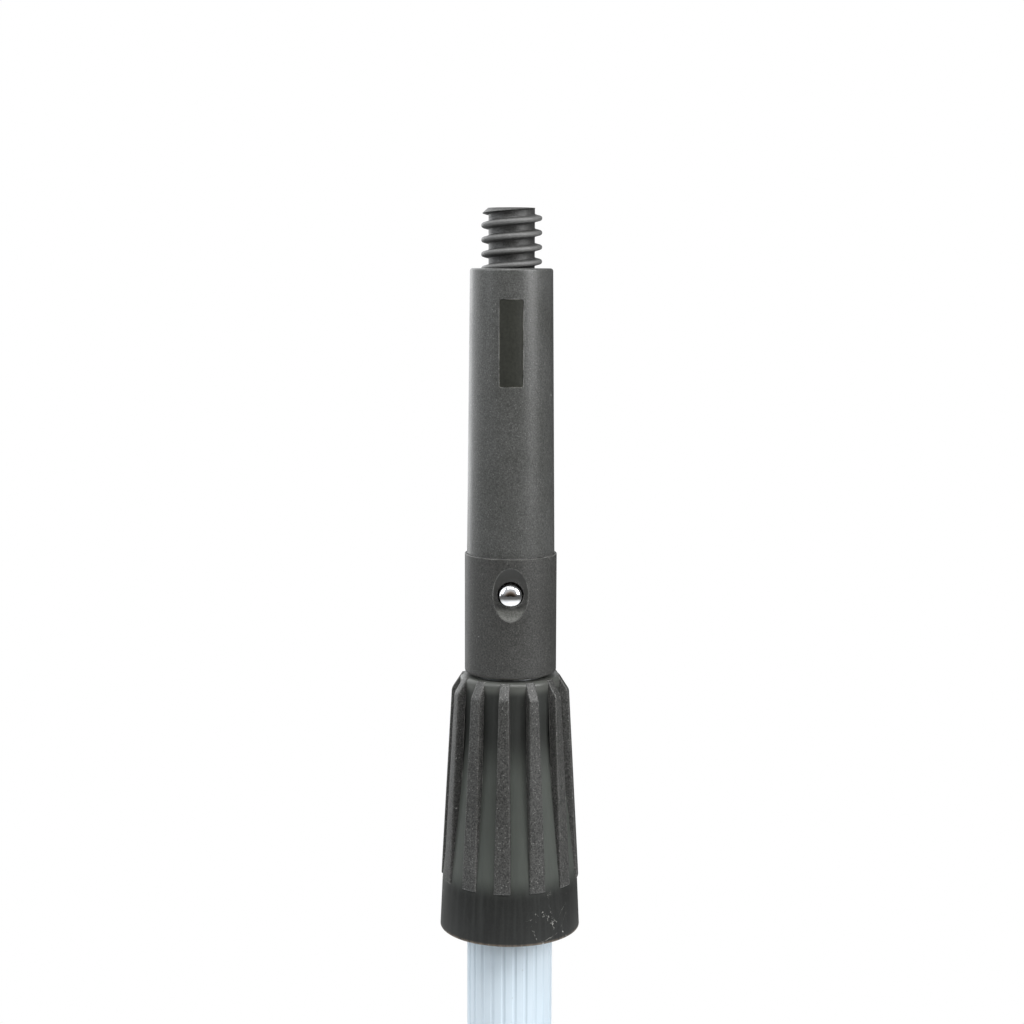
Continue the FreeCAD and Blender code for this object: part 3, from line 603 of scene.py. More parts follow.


# Painted light: the flaring grooves below the knee are painted paler.
painted_light_mask = times(tree, band(ABOVE_SKIRT), band(BELOW_KNEE, least=0.2, foot=False))
colour = mix_colour(tree, times(tree, painted_light_mask, 0.85), bare, PAINTED_LIGHT_HAZE)
colour = mix_colour(tree, remap(tree, streak.outputs[0], 0.45, 0.75, 0.0, 0.35), colour, STREAK)
# Painted highlight along the lip at the top.
colour = mix_colour(tree, times(tree, band(NEAR_LIP, foot=False), 0.7), colour, LIP_PAINTED_HIGHLIGHT)
worn_rim = times(tree, band(NEAR_RIM, smooth=False), remap(tree, streak.outputs[0], 0.3, 0.6))
colour = mix_colour(tree, worn_rim, colour, BROWN_RIM)
for (x, y, above_rim), reach, width in SCUFF_PLACES:
    centre = (x, y, collar_low.z + above_rim)
    marks = effect(tree, scuff, spot, Centre=centre, Reach=reach, Width=width)
    colour = mix_colour(tree, marks["Mask"], colour, SCRATCH)
join(tree, (colour, shader.inputs["Base Color"]))

# %% [markdown]
# ## Aluminium
# The outer tube has a pale matt coat, and the inner tube is bare metal. Both were drawn through a die,
# which leaves fine lines lengthwise. Noise squeezed along Z draws them, in the roughness and the bump.


# %% Tubes
def tube_paint(name, colour, second, metallic, rough):
    """Coated or bare tube, clouded between two colours, with faint lines lengthwise."""
    finish, tree, shader, spot = new_finish(name, metallic=metallic, roughness=rough)
    along = add(tree, "Mapping", Scale=(1.0, 1.0, 0.012))
    lines = add(tree, "TexNoise", Scale=1800.0, Detail=3.0)
    cloud = add(tree, "TexNoise", Scale=22.0, Detail=4.0)
    join(
        tree,
        (spot, along.inputs["Vector"]),
        (along.outputs[0], lines.inputs["Vector"]),
        (spot, cloud.inputs["Vector"]),
    )
    specks = effect(tree, dust, spot, Spacing=0.008, Share=0.12)
    shade = mix_colour(tree, remap(tree, cloud.outputs[0], 0.35, 0.65), colour, second)
    shade = mix_colour(tree, times(tree, specks["Mask"], 0.5), shade, (0.25, 0.24, 0.22))
    roughness = remap(tree, lines.outputs[0], 0.3, 0.7, rough - 0.05, rough + 0.08)
    join(tree, (shade, shader.inputs["Base Color"]), (roughness, shader.inputs["Roughness"]))
    bump(tree, shader, lines.outputs[0], 0.15, 0.00003)
    return finish


pale_tube = tube_paint("pale_tube", (0.515, 0.605, 0.675), (0.56, 0.64, 0.705), 0.0, 0.46)
bare_tube = tube_paint("bare_tube", (0.36, 0.37, 0.38), (0.42, 0.43, 0.44), 0.9, 0.44)

# %% [markdown]
# ## Bright metals and nylon
# The button is plated and almost a mirror. The springs and the rivets are duller and rolled. One recipe
# makes them all, because only their colour, their gloss and the depth of their scratches differ. The
# nylon rings inside the pole are a pale moulding, so they take the recipe of the black ones.


# %% Metals and nylon
def metal(name, colour, rough, scratch=0.0002):
    """Plated or rolled metal with fine scratches in its colour, roughness and bump."""
    finish, tree, shader, spot = new_finish(name, metallic=1.0, roughness=rough)
    lines = add(tree, "TexNoise", Scale=900.0, Detail=5.0, Roughness=0.7)
    join(tree, (spot, lines.inputs["Vector"]))
    darker = tuple(c * 0.86 for c in colour)
    shade = mix_colour(tree, remap(tree, lines.outputs[0], 0.35, 0.7), colour, darker)
    roughness = remap(tree, lines.outputs[0], 0.3, 0.7, rough * 0.7, rough * 1.4)
    join(tree, (shade, shader.inputs["Base Color"]), (roughness, shader.inputs["Roughness"]))
    bump(tree, shader, lines.outputs[0], 0.05, scratch)
    return finish


chrome = metal("chrome", (0.80, 0.80, 0.81), 0.07, 0.00002)
spring_steel = metal("spring_steel", (0.46, 0.47, 0.49), 0.28)
rivet_alloy = metal("rivet_alloy", (0.68, 0.69, 0.70), 0.30)
nylon = moulded(
    "nylon", (0.55, 0.55, 0.52), (0.62, 0.62, 0.59), 0.0005, 0.45, grit=0.05,
    worn=(0.75, 0.75, 0.72), glints=0.1,
)
print("finishes:", len(bpy.data.materials))

# %% [markdown]
# ## Which piece has which finish
# The pieces inside the pole keep their engineering shape, because they are seen only when the pole
# is open. They still get the finish of the real thing.

# %% Finishes on the engineering pieces
FINISH_OF = {
    "threaded_tip": tip_black, "tip_label": label_black, "snap_button": chrome,
    "socket": socket_black, "socket_rivet": rivet_alloy, "lock_collar": groove_black,
    "outer_tube": pale_tube, "inner_tube": bare_tube, "hand_grip": rubber_black,
    "end_cap": cap_black, "end_cap_rivets": rivet_alloy,
    "lock_body": lock_black, "lock_body_rivets": rivet_alloy, "lock_ring": nylon,
    "guide_bush": nylon, "guide_bush_pin": spring_steel, "stop_sleeve": nylon,
    "leaf_spring": spring_steel, "button_washer": spring_steel,
}
for node, finish in FINISH_OF.items():
    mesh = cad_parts[node].data
    mesh.materials.clear()
    mesh.materials.append(finish)

# %% [markdown]
# ## Modelling helpers
# Most of the pole is turned work: round about one axis. The same few moves as by hand make it all.
# A ring is extruded from point to point of an outline and resized on the way, chosen edges are
# bevelled, a cutter is taken away, and the result is given smooth shading between its sharp edges.
# Sizes are written in millimetres and turned into metres inside the helpers.


# %% Turned bodies
CUT_SLACK = 0.0005 * MM
RING_SLACK = 0.02


def edit(piece, kind="VERT", everything=False):
    """Goes into edit mode on one piece, with nothing selected, or everything."""
    if bpy.context.object != piece or bpy.context.mode != "EDIT_MESH":
        deselect()
        bpy.context.view_layer.objects.active = piece
        piece.select_set(True)
        bpy.ops.object.mode_set(mode="EDIT")
    bpy.ops.mesh.select_mode(type=kind)
    bpy.ops.mesh.select_all(action="SELECT" if everything else "DESELECT")
    return bmesh.from_edit_mesh(piece.data)


def choose(piece, kind, test):
    """Selects the vertices, edges or faces for which test(element) is true, and says how many."""
    mesh = edit(piece, kind)
    parts = {"VERT": mesh.verts, "EDGE": mesh.edges, "FACE": mesh.faces}[kind]
    count = 0
    for part in parts:
        if test(part):
            part.select = True
            count += 1
    mesh.select_flush_mode()
    bmesh.update_edit_mesh(piece.data)
    return count


def radius_of(v):
    return math.hypot(v.co.x, v.co.y) / MM


def near_ring(r, z):
    """A test for edges that lie along the ring of radius r at height z."""
    def test(part):
        return all(
            abs(radius_of(v) - r) < RING_SLACK and abs(v.co.z / MM - z) < RING_SLACK
            for v in part.verts
        )
    return test


def on_wall(z, foot, top):
    """The width at height z of a straight wall, whose two ends are given as (width, height)."""
    share = (z - foot[1]) / (top[1] - foot[1])
    return foot[0] + share * (top[0] - foot[0])


def turned(name, outline, steps=128, capped=True):
    """A ring extruded along an outline of (radius, height). Its ends are capped, or else they meet."""
    deselect()
    r, z = outline[0]
    bpy.ops.mesh.primitive_circle_add(
        vertices=steps, radius=r * MM, fill_type="NOTHING", location=(0, 0, z * MM)
    )
    piece = bpy.context.object
    piece.name = name
    bpy.ops.object.transform_apply(location=True, rotation=True, scale=True)
    bpy.ops.object.mode_set(mode="EDIT")
    bpy.ops.mesh.select_all(action="SELECT")
    if capped:
        bpy.ops.mesh.edge_face_add()
        choose(piece, "EDGE", near_ring(r, z))
    for next_r, next_z in outline[1:]:
        bpy.ops.mesh.extrude_edges_move(TRANSFORM_OT_translate={"value": (0, 0, (next_z - z) * MM)})
        if next_r != r:
            k = next_r / r
            bpy.ops.transform.resize(value=(k, k, 1), center_override=(0, 0, next_z * MM))
        r, z = next_r, next_z
    if capped:
        bpy.ops.mesh.edge_face_add()
    bpy.ops.mesh.select_all(action="SELECT")
    bpy.ops.mesh.remove_doubles(threshold=0.001 * MM)
    face_outward(piece)
    return piece


def bevel(width, segments, affect="EDGES", clamp=False):
    """Bevels what is selected, and leaves edit mode."""
    bpy.ops.mesh.bevel(offset=width * MM, segments=segments, affect=affect, clamp_overlap=clamp)
    bpy.ops.object.mode_set(mode="OBJECT")


def soften(piece, rings, width, segments):
    """Rounds ring edges, each given as (radius, height)."""
    for r, z in rings:
        if choose(piece, "EDGE", near_ring(r, z)):
            bevel(width, segments)
        else:
            print("no edge to round at", r, z, "on", piece.name)
            bpy.ops.object.mode_set(mode="OBJECT")


def modify(piece, kind, **settings):
    """Adds a modifier with its settings and applies it to the mesh."""
    change = piece.modifiers.new(kind.lower(), kind)
    for key, value in settings.items():
        setattr(change, key, value)
    deselect()
    bpy.context.view_layer.objects.active = piece
    bpy.ops.object.modifier_apply(modifier=change.name)


def combine(piece, tool, operation="DIFFERENCE"):
    """Cuts with a tool, or keeps what lies inside it, and then throws the tool away."""
    modify(piece, "BOOLEAN", operation=operation, solver="EXACT", object=tool)
    bpy.data.objects.remove(tool)


def slice_off(piece, at, normal, fill=True):
    """Cuts a piece with a plane and throws away the side that the normal points to."""
    edit(piece, everything=True)
    bpy.ops.mesh.bisect(
        plane_co=at, plane_no=normal, use_fill=fill, clear_outer=True, threshold=CUT_SLACK
    )


def face_outward(piece):
    """Turns every face of a closed mesh outward, and leaves edit mode."""
    edit(piece, everything=True)
    bpy.ops.mesh.normals_make_consistent(inside=False)
    bpy.ops.object.mode_set(mode="OBJECT")


def place(piece, turn_x=0.0, turn_z=0.0, shift=(0.0, 0.0, 0.0)):
    """Turns and moves the mesh itself, so that the finished object stays at the origin."""
    move = Matrix.Translation(Vector(shift) * MM) @ Matrix.Rotation(math.radians(turn_z), 4, "Z")
    piece.data.transform(move @ Matrix.Rotation(math.radians(turn_x), 4, "X"))
    piece.data.update()


def done(piece, finish, body, slot, *nodes, sharp=32.0, level=False):
    """Shades a finished piece, paints it, hangs it under the body that it rides on, and hides the
    engineering nodes that it stands in for.
    """
    deselect()
    bpy.context.view_layer.objects.active = piece
    piece.select_set(True)
    bpy.ops.object.shade_smooth_by_angle(angle=math.radians(sharp))
    if level:
        # Broad faces decide the shading at their corners, so that a small rounded rim next to them
        # does not bend the light on the whole wall.
        modify(piece, "WEIGHTED_NORMAL", weight=100, keep_sharp=True)
    piece.data.materials.clear()
    piece.data.materials.append(finish)
    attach(piece, body)
    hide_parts(*nodes)
    print(piece.name, len(piece.data.polygons), "faces on", body)


# %% Heights of the main steps, in millimetres
SHOULDER = shoulder_z / MM
SOCKET_FOOT, SOCKET_TOP = (v.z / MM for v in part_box("socket"))
COLLAR_FOOT, COLLAR_TOP = (v.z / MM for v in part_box("lock_collar"))
TUBE_FOOT, TUBE_TOP = (v.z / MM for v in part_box("outer_tube"))
GRIP_FOOT, GRIP_TOP = (v.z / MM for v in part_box("hand_grip"))
THREAD_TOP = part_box("threaded_tip")[1].z / MM
SHANK_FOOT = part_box("threaded_tip")[0].z / MM
print("shoulder", round(SHOULDER, 2), "socket", round(SOCKET_FOOT, 2), round(SOCKET_TOP, 2))

# %% [markdown]
# ## The tip's barrel
# The tip is a hollow moulding that tapers by a millimetre towards the thread, so that it leaves its
# mould. It is turned from one outline that starts inside, at the top of the cavity, and ends on top,
# in a ring channel round the foot of the thread. The edge under the thread is clearly rounded. A
# shallow pocket on the front holds a blank label, and its cutter is a curved plate with rounded corners.

# %% Barrel
BARREL_FOOT_R, BARREL_TOP_R = 15.6, 14.6
SHANK_R, SHANK_BORE_R = 11.1, 9.2
RELIEF_R, RELIEF_DEPTH, CAVITY_DEPTH = 10.92, 0.4, 14.0
relief_floor = SHOULDER - RELIEF_DEPTH
cavity_top = SHOULDER - CAVITY_DEPTH
tip = turned("tip_barrel", [
    (SHANK_BORE_R, cavity_top), (SHANK_BORE_R, SHANK_FOOT), (SHANK_R, SHANK_FOOT), (SHANK_R, SOCKET_TOP),
    (BARREL_FOOT_R, SOCKET_TOP), (BARREL_TOP_R, SHOULDER), (RELIEF_R, SHOULDER),
    (RELIEF_R, relief_floor), (THREAD_CORE_R - 0.4, relief_floor),
], steps=160)
soften(tip, [(BARREL_TOP_R, SHOULDER)], width=1.0, segments=5)
soften(tip, [(SHANK_R, SHANK_FOOT), (RELIEF_R, SHOULDER)], width=0.15, segments=2)
soften(tip, [(BARREL_FOOT_R, SOCKET_TOP)], width=0.12, segments=2)

# %% Label pocket and button hole
LABEL_HALF, LABEL_TOP, LABEL_FOOT = 4.15, SHOULDER - 10.6, SHOULDER - 40.9
LABEL_CORNER, POCKET_DEPTH, POCKET_RIM = 0.8, 0.6, 0.12
CUTTER_PROUD = 1.0
BUTTON_HOLE_R = 4.35


def barrel_r(z):
    return on_wall(z, (BARREL_FOOT_R, SOCKET_TOP), (BARREL_TOP_R, SHOULDER))


pocket = turned("pocket_cutter", [
    (barrel_r(LABEL_FOOT) - POCKET_DEPTH, LABEL_FOOT), (barrel_r(LABEL_FOOT) + CUTTER_PROUD, LABEL_FOOT),
    (barrel_r(LABEL_TOP) + CUTTER_PROUD, LABEL_TOP), (barrel_r(LABEL_TOP) - POCKET_DEPTH, LABEL_TOP),
    (barrel_r(LABEL_FOOT) - POCKET_DEPTH, LABEL_FOOT),
], steps=256, capped=False)
slice_off(pocket, (LABEL_HALF * MM, 0, 0), (1, 0, 0))
slice_off(pocket, (-LABEL_HALF * MM, 0, 0), (-1, 0, 0))
slice_off(pocket, (0, 0, 0), (0, 1, 0), fill=False)
corners = choose(pocket, "EDGE", lambda e: all(
    abs(abs(v.co.x) / MM - LABEL_HALF) < 0.01 for v in e.verts
) and abs(e.verts[0].co.y - e.verts[1].co.y) > 0.5 * MM)
bevel(LABEL_CORNER, segments=5)
combine(tip, pocket)
print("rounded corners of the pocket:", corners)


def bore(name, r, y_low, y_high, z):
    """A round cutter along Y, between two distances from the axis."""
    deselect()
    bpy.ops.mesh.primitive_cylinder_add(
        vertices=64, radius=r * MM, depth=(y_high - y_low) * MM,
        location=(0, 0.5 * (y_low + y_high) * MM, z * MM), rotation=(math.pi / 2, 0, 0),
    )
    bpy.context.object.name = name
    bpy.ops.object.transform_apply(location=True, rotation=True, scale=True)
    return bpy.context.object


combine(tip, bore("shank_drill", BUTTON_HOLE_R, -13.0, 0.0, BUTTON_Z))


def rim_of_pocket(e):
    """Edges where the pocket's walls meet the barrel's surface."""
    on_face = all(
        abs(radius_of(v) - barrel_r(v.co.z / MM)) < 0.03
        and abs(v.co.x) / MM < LABEL_HALF + RING_SLACK and v.co.y < 0
        and LABEL_FOOT - RING_SLACK < v.co.z / MM < LABEL_TOP + RING_SLACK
        for v in e.verts
    )
    return on_face and len(e.link_faces) == 2 and e.calc_face_angle(0.0) > math.radians(40)


print("pocket rim edges:", choose(tip, "EDGE", rim_of_pocket))
bevel(POCKET_RIM, segments=2, clamp=True)
done(tip, tip_black, "upper_section", "tip_plastic", "threaded_tip", level=True)

# %% [markdown]
# ## The tool thread
# A coarse round-nosed thread, one ridge every five millimetres. One turn's outline is drawn as a chain
# of points and softened at its corners. A Screw modifier then carries it up the core, so that each turn
# starts where the last one ended. Two flat cuts end it, one in the channel under the shoulder and one at
# the top, as the mould does. Last, only what lies inside a turned blank with a cone at its top is kept:
# that is the lead-in, where the ridge thins out so that a tool finds the thread easily.


# %% Drawing a chain of points
def drawn(name, points):
    """A chain of edges through points, extruded from a single vertex."""
    deselect()
    bpy.ops.mesh.primitive_plane_add(size=MM, location=(0, 0, 0))
    piece = bpy.context.object
    piece.name = name
    bpy.ops.object.mode_set(mode="EDIT")
    bpy.ops.mesh.select_mode(type="VERT")
    bpy.ops.mesh.select_all(action="SELECT")
    bpy.ops.mesh.merge(type="CENTER")
    at = Vector(points[0]) * MM
    bpy.ops.transform.translate(value=at)
    for point in points[1:]:
        to = Vector(point) * MM
        bpy.ops.mesh.extrude_region_move(TRANSFORM_OT_translate={"value": to - at})
        at = to
    bpy.ops.object.mode_set(mode="OBJECT")
    return piece


# %% Thread
PITCH, CREST_R = 5.0, 10.67
RIDGE_ROOT, RIDGE_CREST = 2.7, 1.4
RIDGE_RISE = 2.3
CREST_ROUND, ROOT_ROUND, TOP_ROUND = 0.62, 0.35, 0.18
LEAD_IN_R, LEAD_IN_DEPTH = 8.3, 2.1
TURNS, STEPS_PER_TURN = 8, 96
first = SHOULDER + RIDGE_RISE - 2 * PITCH
thread = drawn("tip_thread", [
    (THREAD_CORE_R, 0, first - PITCH / 2), (THREAD_CORE_R, 0, first - RIDGE_ROOT / 2),
    (CREST_R, 0, first - RIDGE_CREST / 2), (CREST_R, 0, first + RIDGE_CREST / 2),
    (THREAD_CORE_R, 0, first + RIDGE_ROOT / 2), (THREAD_CORE_R, 0, first + PITCH / 2),
])
choose(thread, "VERT", lambda v: v.co.x / MM > CREST_R - 0.01)
bevel(CREST_ROUND, segments=4, affect="VERTICES")
choose(thread, "VERT", lambda v: v.co.x / MM < THREAD_CORE_R + 0.01
       and abs(abs(v.co.z / MM - first) - RIDGE_ROOT / 2) < 0.01)
bevel(ROOT_ROUND, segments=3, affect="VERTICES")
modify(
    thread, "SCREW", angle=math.tau, screw_offset=PITCH * MM, iterations=TURNS,
    steps=STEPS_PER_TURN, render_steps=STEPS_PER_TURN,
)
edit(thread, everything=True)
bpy.ops.mesh.remove_doubles(threshold=0.01 * MM)
slice_off(thread, (0, 0, (relief_floor - 0.1) * MM), (0, 0, -1))
slice_off(thread, (0, 0, THREAD_TOP * MM), (0, 0, 1))
face_outward(thread)
choose(thread, "EDGE", lambda e: all(abs(v.co.z / MM - THREAD_TOP) < 0.001 for v in e.verts)
       and len(e.link_faces) == 2 and e.calc_face_angle(0.0) > 0.6)
bevel(TOP_ROUND, segments=2, clamp=True)
blank = turned("thread_blank", [
    (CREST_R + 0.2, relief_floor - 1.0), (CREST_R + 0.2, THREAD_TOP - LEAD_IN_DEPTH - 0.2),
    (LEAD_IN_R, THREAD_TOP + 0.02),
], steps=192)
combine(thread, blank, "INTERSECT")
at_x = [
    v.co.z / MM - SHOULDER for v in thread.data.vertices
    if v.co.x / MM > CREST_R - 0.05 and abs(v.co.y / MM) < 0.3
]
print("crests on +X above the shoulder:", sorted({round(z, 1) for z in at_x})[:6])
done(thread, thread_black, "upper_section", "tip_plastic", "threaded_tip")

# %% [markdown]
# ## The socket and its finger dish
# The socket is a plain sleeve. A thumb presses the snap button through a shallow round dish, which is
# part of a ball, so the cutter is a ball larger than the sleeve. The hole for the button is bored
# through the dish. Both rims are broken a little, as a mould leaves them.

# %% Socket
SOCKET_BORE_R, LIP_R, LIP = 12.55, 11.2, 2.4
DISH_R, DISH_DEPTH, SOCKET_HOLE_R, HOLE_RIM = 22.8, 2.1, 4.6, 0.16
sleeve = turned("socket_sleeve", [
    (SOCKET_BORE_R, SOCKET_FOOT), (SOCKET_R, SOCKET_FOOT), (SOCKET_R, SOCKET_TOP), (LIP_R, SOCKET_TOP),
    (LIP_R, SOCKET_TOP - LIP), (SOCKET_BORE_R, SOCKET_TOP - LIP), (SOCKET_BORE_R, SOCKET_FOOT),
], steps=192, capped=False)
soften(sleeve, [(SOCKET_R, SOCKET_FOOT)], width=1.1, segments=5)
soften(sleeve, [(SOCKET_R, SOCKET_TOP)], width=0.28, segments=3)
deselect()
bpy.ops.mesh.primitive_uv_sphere_add(
    segments=192, ring_count=96, radius=DISH_R * MM,
    location=(0, (DISH_DEPTH - SOCKET_R - DISH_R) * MM, BUTTON_Z * MM), rotation=(math.pi / 2, 0, 0),
)
ball = bpy.context.object
bpy.ops.object.transform_apply(location=True, rotation=True, scale=True)
combine(sleeve, ball)
combine(sleeve, bore("socket_drill", SOCKET_HOLE_R, -18.0, 0.0, BUTTON_Z))


def off_axis(v):
    return math.hypot(v.co.x, v.co.z - BUTTON_Z * MM) / MM


print("hole rim edges:", choose(sleeve, "EDGE", lambda e: all(
    abs(off_axis(v) - SOCKET_HOLE_R) < 0.02 and v.co.y / MM < -13.6 for v in e.verts
) and abs(e.verts[0].co.y - e.verts[1].co.y) < 0.3 * MM and e.calc_face_angle(0.0) > 0.7))
bevel(HOLE_RIM, segments=2, clamp=True)
done(sleeve, socket_black, "upper_section", "socket_plastic", "socket", sharp=20.0, level=True)

# %% [markdown]
# ## The snap button and the rivet
# The button is turned from bright steel and plated. Its face is a low dome with a small flat in the
# middle, and its edge is well rounded. It is modelled upright, then laid over so that it points at the
# thumb. The rivet at the back is a low dome with a dimple that the setting tool leaves.

# %% Button
BUTTON_R, STEM_R, STEM_HEAD_R = 4.0, 1.4, 2.6
BUTTON_BASE, STEM_HEAD, DOME_RISE = 8.1, 0.8, 1.95
button_front = -button_low.y / MM
button_back = -button_high.y / MM
dome_foot = button_front - DOME_RISE
button = turned("button_dome", [
    (STEM_HEAD_R, button_back), (STEM_HEAD_R, button_back + STEM_HEAD), (STEM_R, button_back + STEM_HEAD),
    (STEM_R, BUTTON_BASE), (BUTTON_R, BUTTON_BASE), (BUTTON_R, dome_foot), (3.72, dome_foot + 0.62),
    (3.2, dome_foot + 1.12), (2.5, dome_foot + 1.48), (1.7, dome_foot + 1.74), (0.9, button_front - 0.03),
    (0.35, button_front),
], steps=96)
soften(button, [(BUTTON_R, BUTTON_BASE)], width=0.2, segments=2)
soften(button, [(BUTTON_R, dome_foot)], width=0.3, segments=3)
place(button, turn_x=90.0, shift=(0, 0, BUTTON_Z))
done(button, chrome, "button", "button_steel", "snap_button", sharp=60.0)

# %% Rivet
rivet_low, rivet_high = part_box("socket_rivet")
RIVET_Z = 0.5 * (rivet_low.z + rivet_high.z) / MM
RIVET_STEM_R, RIVET_INNER_END, RIVET_HEAD_R, RIVET_SEAT = 2.0, 11.3, 3.3, SOCKET_R - 0.9
rivet_out = rivet_high.y / MM
rivet = turned("rivet_dome", [
    (RIVET_STEM_R, RIVET_INNER_END), (RIVET_STEM_R, RIVET_SEAT), (RIVET_HEAD_R, RIVET_SEAT),
    (3.28, SOCKET_R + 0.05), (2.9, SOCKET_R + 0.38), (2.2, rivet_out - 0.22), (1.5, rivet_out - 0.05),
    (1.0, rivet_out), (0.75, rivet_out - 0.25), (0.3, rivet_out - 0.35),
], steps=64)
place(rivet, turn_x=-90.0, shift=(0, 0, RIVET_Z))
done(rivet, rivet_alloy, "upper_section", "rivet_aluminium", "socket_rivet", sharp=50.0)

# %% [markdown]
# ## The twist collar
# The collar is the piece that the hand turns. Twelve ribs stand on a body whose floor is straight near
# the top and then flares, until the grooves run out above a plain skirt. The body is turned. One rib is
# modelled as a flat strip that narrows upward. A Shrinkwrap modifier presses it on to a cone, it is then
# given sides and soft edges, and eleven copies are turned round the pole.

# %% Collar body
GROOVE_R, SKIRT_R, SKIRT_BORE_R, SKIRT_DEPTH = 18.0, 25.35, 22.8, 10.8
MOUTH_R, MOUTH_DEPTH, CHAMBER_R, BORE_R, WIDE_BORE_R = 13.2, 4.0, 16.15, 18.2, 19.6
RIB_END_R, RIB_SHOULDER_R, RIB_TOP_R = 24.97, 21.15, 17.6
FLARE_END_R = RIB_END_R - 0.5
RIB_END = COLLAR_FOOT + 18.8
RIB_SHOULDER = COLLAR_TOP - 5.5
KNEE = COLLAR_TOP - 20.0
shell = turned("collar_shell", [
    (SKIRT_BORE_R, COLLAR_FOOT), (SKIRT_R, COLLAR_FOOT), (FLARE_END_R, RIB_END), (GROOVE_R, KNEE),
    (GROOVE_R, COLLAR_TOP), (MOUTH_R, COLLAR_TOP), (MOUTH_R, COLLAR_TOP - MOUTH_DEPTH),
    (CHAMBER_R, COLLAR_TOP - MOUTH_DEPTH), (CHAMBER_R, COLLAR_TOP - 17.3), (BORE_R, COLLAR_TOP - 45.2),
    (BORE_R, COLLAR_FOOT + 40.8), (WIDE_BORE_R, COLLAR_FOOT + 39.3),
    (WIDE_BORE_R, COLLAR_FOOT + SKIRT_DEPTH), (SKIRT_BORE_R - 0.5, COLLAR_FOOT + SKIRT_DEPTH),
    (SKIRT_BORE_R, COLLAR_FOOT),
], steps=192, capped=False)
soften(shell, [(GROOVE_R, KNEE)], width=5.5, segments=8)
soften(shell, [(GROOVE_R, COLLAR_TOP)], width=1.5, segments=5)
soften(shell, [(SKIRT_R, COLLAR_FOOT)], width=0.5, segments=4)
soften(shell, [(SKIRT_BORE_R, COLLAR_FOOT)], width=0.25, segments=2)
soften(shell, [(FLARE_END_R, RIB_END)], width=1.2, segments=4)
done(shell, groove_black, "collar", "collar_plastic", "lock_collar")

# %% One rib
RIB_END_WIDTH, RIB_TOP_WIDTH = 6.1, 3.5
RIB_EDGE, RIB_DEPTH = 0.45, 3.0
form = turned("rib_form", [
    (RIB_END_R + 0.05, RIB_END - 2.0), (RIB_END_R, RIB_END), (RIB_SHOULDER_R, RIB_SHOULDER),
    (RIB_TOP_R, COLLAR_TOP), (RIB_TOP_R - 3.0, COLLAR_TOP + 3.0),
], steps=256)
soften(form, [(RIB_SHOULDER_R, RIB_SHOULDER)], width=0.8, segments=5)


def rib_width(z):
    return on_wall(z, (RIB_END_WIDTH, RIB_END), (RIB_TOP_WIDTH, COLLAR_TOP))


def rib_surface(z):
    """The distance from the axis to the rib's face at height z."""
    if z < RIB_SHOULDER:
        return on_wall(z, (RIB_END_R, RIB_END), (RIB_SHOULDER_R, RIB_SHOULDER))
    return on_wall(z, (RIB_SHOULDER_R, RIB_SHOULDER), (RIB_TOP_R, COLLAR_TOP))


levels = [RIB_END + i * (RIB_SHOULDER - 1.2 - RIB_END) / 12 for i in range(13)]
levels += [RIB_SHOULDER + i * 0.3 for i in range(-3, 4)] + [COLLAR_TOP - 2.8, COLLAR_TOP - 0.03]
COLUMNS = 8
strip = drawn("collar_rib_1", [
    ((i / COLUMNS - 0.5) * rib_width(RIB_END), -RIB_END_R - RIB_DEPTH, RIB_END)
    for i in range(COLUMNS + 1)
])
edit(strip, "EDGE", everything=True)
for low, high in zip(levels, levels[1:]):
    bpy.ops.mesh.extrude_edges_move(TRANSFORM_OT_translate={"value": (0, 0, (high - low) * MM)})
    bpy.ops.transform.resize(
        value=(rib_width(high) / rib_width(low), 1, 1), center_override=(0, 0, high * MM)
    )
modify(
    strip, "SHRINKWRAP", wrap_method="PROJECT", use_project_y=True, use_positive_direction=True,
    target=form,
)
bpy.data.objects.remove(form)
edit(strip, "FACE", everything=True)
bpy.ops.mesh.extrude_region_move(TRANSFORM_OT_translate={"value": (0, RIB_DEPTH * MM, 0)})
face_outward(strip)


def outer_rim(e):
    """The rib's outer edges: its two long sides and its lower end, but not where it meets the top."""
    if len(e.link_faces) != 2 or e.calc_face_angle(0.0) < 1.0:
        return False
    x, y, z = 0.5 * (e.verts[0].co + e.verts[1].co) / MM
    face_y = -math.sqrt(max(0.0, rib_surface(z) ** 2 - x**2))
    return z < COLLAR_TOP - 0.5 and y < face_y + 0.2


print("rib edges to round:", choose(strip, "EDGE", outer_rim))
bevel(RIB_EDGE, segments=3, clamp=True)

# %% Twelve ribs
RIB_COUNT, RIB_TURN = 12, -6.3
ribs = [strip]
for i in range(1, RIB_COUNT):
    copy = strip.copy()
    copy.data = strip.data.copy()
    copy.name = f"collar_rib_{i + 1}"
    bpy.context.scene.collection.objects.link(copy)
    ribs.append(copy)
for i, rib in enumerate(ribs):
    place(rib, turn_z=RIB_TURN + 360.0 * i / RIB_COUNT)
    done(rib, rib_black, "collar", "collar_plastic", "lock_collar")

# %% [markdown]
# ## The fluted tube
# The tube is extruded aluminium. Its die leaves twenty-four shallow round flutes, which stiffen it and
# give grip. A ring of many points is drawn, the points that stand in a flute are drawn inward column by
# column, and the ring is extruded once up the whole length. A Solidify modifier gives the wall.

